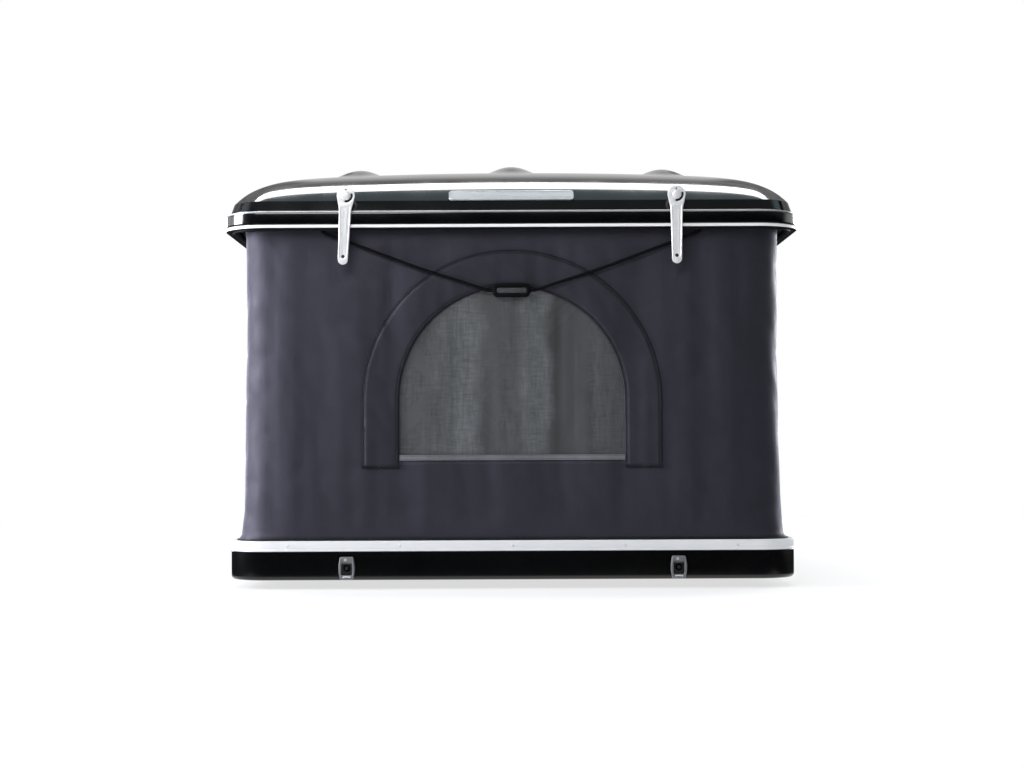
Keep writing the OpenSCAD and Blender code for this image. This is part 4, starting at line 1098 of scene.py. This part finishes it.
for end, side in LATCHES:
    place = spin(0 if end == "front" else pi, "Z") @ shift(-LATCH_X if side == "left" else LATCH_X, 0, 0)
    m = upright(place, STRAP_Y, LATCH_Z, STRAP_LEAN if (end, side) == ("front", "left") else 0.0)
    shape = Shape()
    shape.plate(strap, strap_holes, STRAP_T, 0.5, m)
    for s in (-1, 1):
        edge = [m @ Vector((s * (strap_half(v) - 1.9), v, 3.0)) for v in steps(-25, -STRAP_REACH - 2, 8)]
        shape.tube(edge, oval(1.5, 1.9, 10))
        ridge = [m @ Vector((s * 4.2, v, 2.9)) for v in steps(-34, -STRAP_REACH + 10, 8)]
        shape.tube(ridge, oval(0.8, 0.8, 8))
    brow = [m @ Vector((x, -25.5 - 2.2 * (1 - (x / 11) ** 2), 2.8)) for x in steps(-11, 11, 2)]
    shape.tube(brow, oval(0.9, 0.9, 8))
    name = f"{end}_strap_{side}"
    make(f"{name}_plate", shape, latch_steel, name, replaces=[name])

    rivets.lathe([(5, 0), (5, 3.6), (9, 3.6), (9, 4.3), (8.2, 5.3), (6.2, 5.9), (3, 6.1), (0.4, 6.1)],
                 upright(place, STRAP_Y - 0.3, LATCH_Z), 32)
    m = upright(place, HY - BASE_IN, CATCH_Z)
    backs.plate(bulging, [arc(0, 0, 8.1, 0, 348, 29)], 3, 0.3, m)
    front = m @ shift(0, 0, 2.7)
    frames.plate(bulging, [rounded(24, 31, 3)[::-1]], 6.3, 0.9, front)
    for s in (-1, 1):
        rib = [front @ Vector((s * x, y, 6.0)) for x, y in ((13, -22), (15.2, -6), (15.2, 6), (13, 22))]
        frames.tube(rib, oval(1.1, 1.1, 8))
    # Ramp from the top of the frame down to the button, with a screw above it, and a bright lower lip
    frames.loft([[front @ Vector((x, y, z)) for y, z in ramp] for x in (-12.2, 12.2)])
    lips.lathe([(3, 0), (3, 0.5), (2.5, 0.9), (1.5, 1.05), (1.4, 0.3), (0.2, 0.3)],
               front @ shift(-2.5, 18.6, 5.6), 18)
    low = [front @ Vector((x, -18.6 - 0.012 * x * x, 5.6)) for x in steps(-9, 9, 2)]
    lips.tube(low, oval(2.6, 1.5, 12))
make("latch_rivet_heads", rivets, latch_steel, "roof", replaces=["latch_rivets"])
make("catch_frames", frames, catch_steel, "base", replaces=["catches"])
make("catch_backs", backs, latch_black, "base")
make("catch_lips", lips, latch_steel, "base")


# Solids that keep their shape get soft edges and their own finish

KEPT = [(steel, "arm bracket rod pivot screws"), (rail_alloy, "track rail"), (strut_black, "tube"),
        (nylon, "glide"), (floor_board, "panel"), (latch_black, "posts button")]
for name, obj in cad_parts.items():
    if obj.hide_render:
        continue
    obj.data.materials.clear()
    obj.data.materials.append(next(paint for paint, words in KEPT if any(w in name for w in words.split())))
    weld = obj.modifiers.new("weld", "WELD")
    weld.merge_threshold = 0.00002
    soft = obj.modifiers.new("soft edges", "BEVEL")
    soft.width, soft.segments, soft.limit_method = 0.0006, 2, "ANGLE"
    soft.angle_limit = radians(35)


# Light and floor

def lamp(name, place, target, size, power, color=(1, 1, 1)):
    data = bpy.data.lights.new(name, "AREA")
    data.shape, data.size, data.size_y = "RECTANGLE", *size
    data.energy, data.color = power, color
    obj = add(name, data)
    obj.location = place
    obj.rotation_euler = (Vector(target) - Vector(place)).to_track_quat("-Z", "Y").to_euler()


lamp("overhead", (0, 1.2, 6.5), (0, -1.0, 0.9), (5.6, 2.3), 400)
lamp("front_fill", (-1.5, -4.5, 2.6), (0, -1.0, 0.45), (2.4, 1.6), 71)
lamp("left_key", (-3.9, -1.3, 1.4), (0, -0.8, 0.5), (1.8, 2.2), 280, (0.9, 0.91, 1.0))
lamp("right_key", (3.1, 1.9, 1.15), (0, -0.4, 0.6), (1.5, 1.1), 80, (0.95, 0.96, 1.0))
lamp("back_left", (-3.4, 4.2, 1.3), (0, 0.6, 0.5), (1.6, 1.0), 55)
lamp("back_right", (3.4, 4.2, 1.3), (0, 0.6, 0.5), (1.6, 1.0), 55)

# Reflections see a white room behind, a bright panel overhead, pale walls beside and a dark room in front
scene.world = bpy.data.worlds.new("studio")
room = Nodes(scene.world)
room.tree.nodes.clear()
axes = room.node("SeparateXYZ", {0: room.node("TexCoord").outputs["Generated"]}).outputs
turn = room.math("MULTIPLY", room.math("ARCTAN2", axes[2], room.math("MULTIPLY", axes[1], -1.0)), 180 / pi)
seen = room.math("MULTIPLY", room.window(turn, 5, 16, 60, 70), 0.1)
for a, b, c, d, level in ((62, 72, 97, 101, 0.6), (121, 124, 140, 146, 0.35)):
    seen = room.math("ADD", seen, room.math("MULTIPLY", room.window(turn, a, b, c, d), level))
aside = room.math("ABSOLUTE", axes[0])
backdrop = room.span(aside, 0.118, 0.145, 0.6, 0.2)
seen = room.math("ADD", seen, room.math("MULTIPLY", room.window(turn, 138, 148, 190, 200), backdrop))
walls = room.math("MULTIPLY", room.span(aside, 0.45, 0.65), room.window(axes[2], -1.0, -0.9, 0.15, 0.24))
walls = room.math("MULTIPLY", walls, room.window(axes[1], -0.2, 0.1, 0.6, 0.8))
seen = room.math("MAXIMUM", seen, walls)
paths = room.node("LightPath").outputs
level = room.node("Mix", {0: paths["Is Glossy Ray"], 2: 0.3, 3: seen}, data_type="FLOAT").outputs[0]
clear = room.math("MAXIMUM", paths["Is Camera Ray"], paths["Is Transmission Ray"])
level = room.node("Mix", {0: clear, 2: level, 3: 1.0}, data_type="FLOAT").outputs[0]
cool = room.math("MULTIPLY", room.window(turn, 40, 70, 100, 106), room.math("SUBTRACT", 1.0, clear))
hue = room.node("MixRGB", {"Fac": cool, "Color1": (1, 1, 1, 1), "Color2": (0.72, 0.92, 1.0, 1)}).outputs[0]
sky = room.node("Background", {"Color": hue, "Strength": level}).outputs[0]
room.node("OutputWorld", {"Surface": sky})

# The floor is white to the camera and keeps a shadow near the tent; reflections see a painted glow instead,
# bright round the tent's foot and dark further out
p = Paint("floor", (0.9, 0.9, 0.9), 0.9)
p.tint(p.noise(0.4, 3), (0.88, 0.88, 0.885), 0.5)
paths = p.node("LightPath").outputs
away = p.node("VectorMath", {0: p.at()}, operation="LENGTH").outputs["Value"]
fade = p.math("ADD", p.span(away, 1.9, 3.6, 0.32, 0.0), p.math("SUBTRACT", 1.0, paths["Is Camera Ray"]))
axes = p.node("SeparateXYZ", {0: p.at()}).outputs
# Painted reflection: to glossy rays the floor glows at 0.6 in a strip round the tent's foot, fading to
# almost nothing 0.2 m out
beside = p.math("SUBTRACT", p.math("ABSOLUTE", axes[0]), HX * MM)
before = p.math("SUBTRACT", p.math("ABSOLUTE", axes[1]), HY * MM)
painted_reflection_level = p.span(p.math("MAXIMUM", beside, before), 0.02, 0.2, 0.6, 0.012)
glow, painted_reflection = (p.node("Emission", {"Color": (1, 1, 1, 1), "Strength": s}).outputs[0] for s in (1.0, painted_reflection_level))
mixed = p.node("MixShader", {0: fade, 1: glow, 2: p.bsdf.outputs[0]}).outputs[0]
mixed = p.node("MixShader", {0: paths["Is Glossy Ray"], 1: mixed, 2: painted_reflection}).outputs[0]
p.tree.links.new(mixed, p.tree.nodes["Material Output"].inputs["Surface"])
shape = Shape()
shape.grid([[(x, y, 0) for x, y in oval(r, r, 96)] for r in (180, 1800, 4500, 9000)], close_cols=True)
shape.face(range(96))
floor_mesh = bpy.data.meshes.new("floor")
floor_mesh.from_pydata([[c * MM for c in v] for v in shape.verts], [], shape.faces)
floor_mesh.materials.append(p.mat)
floor = add("floor", floor_mesh)
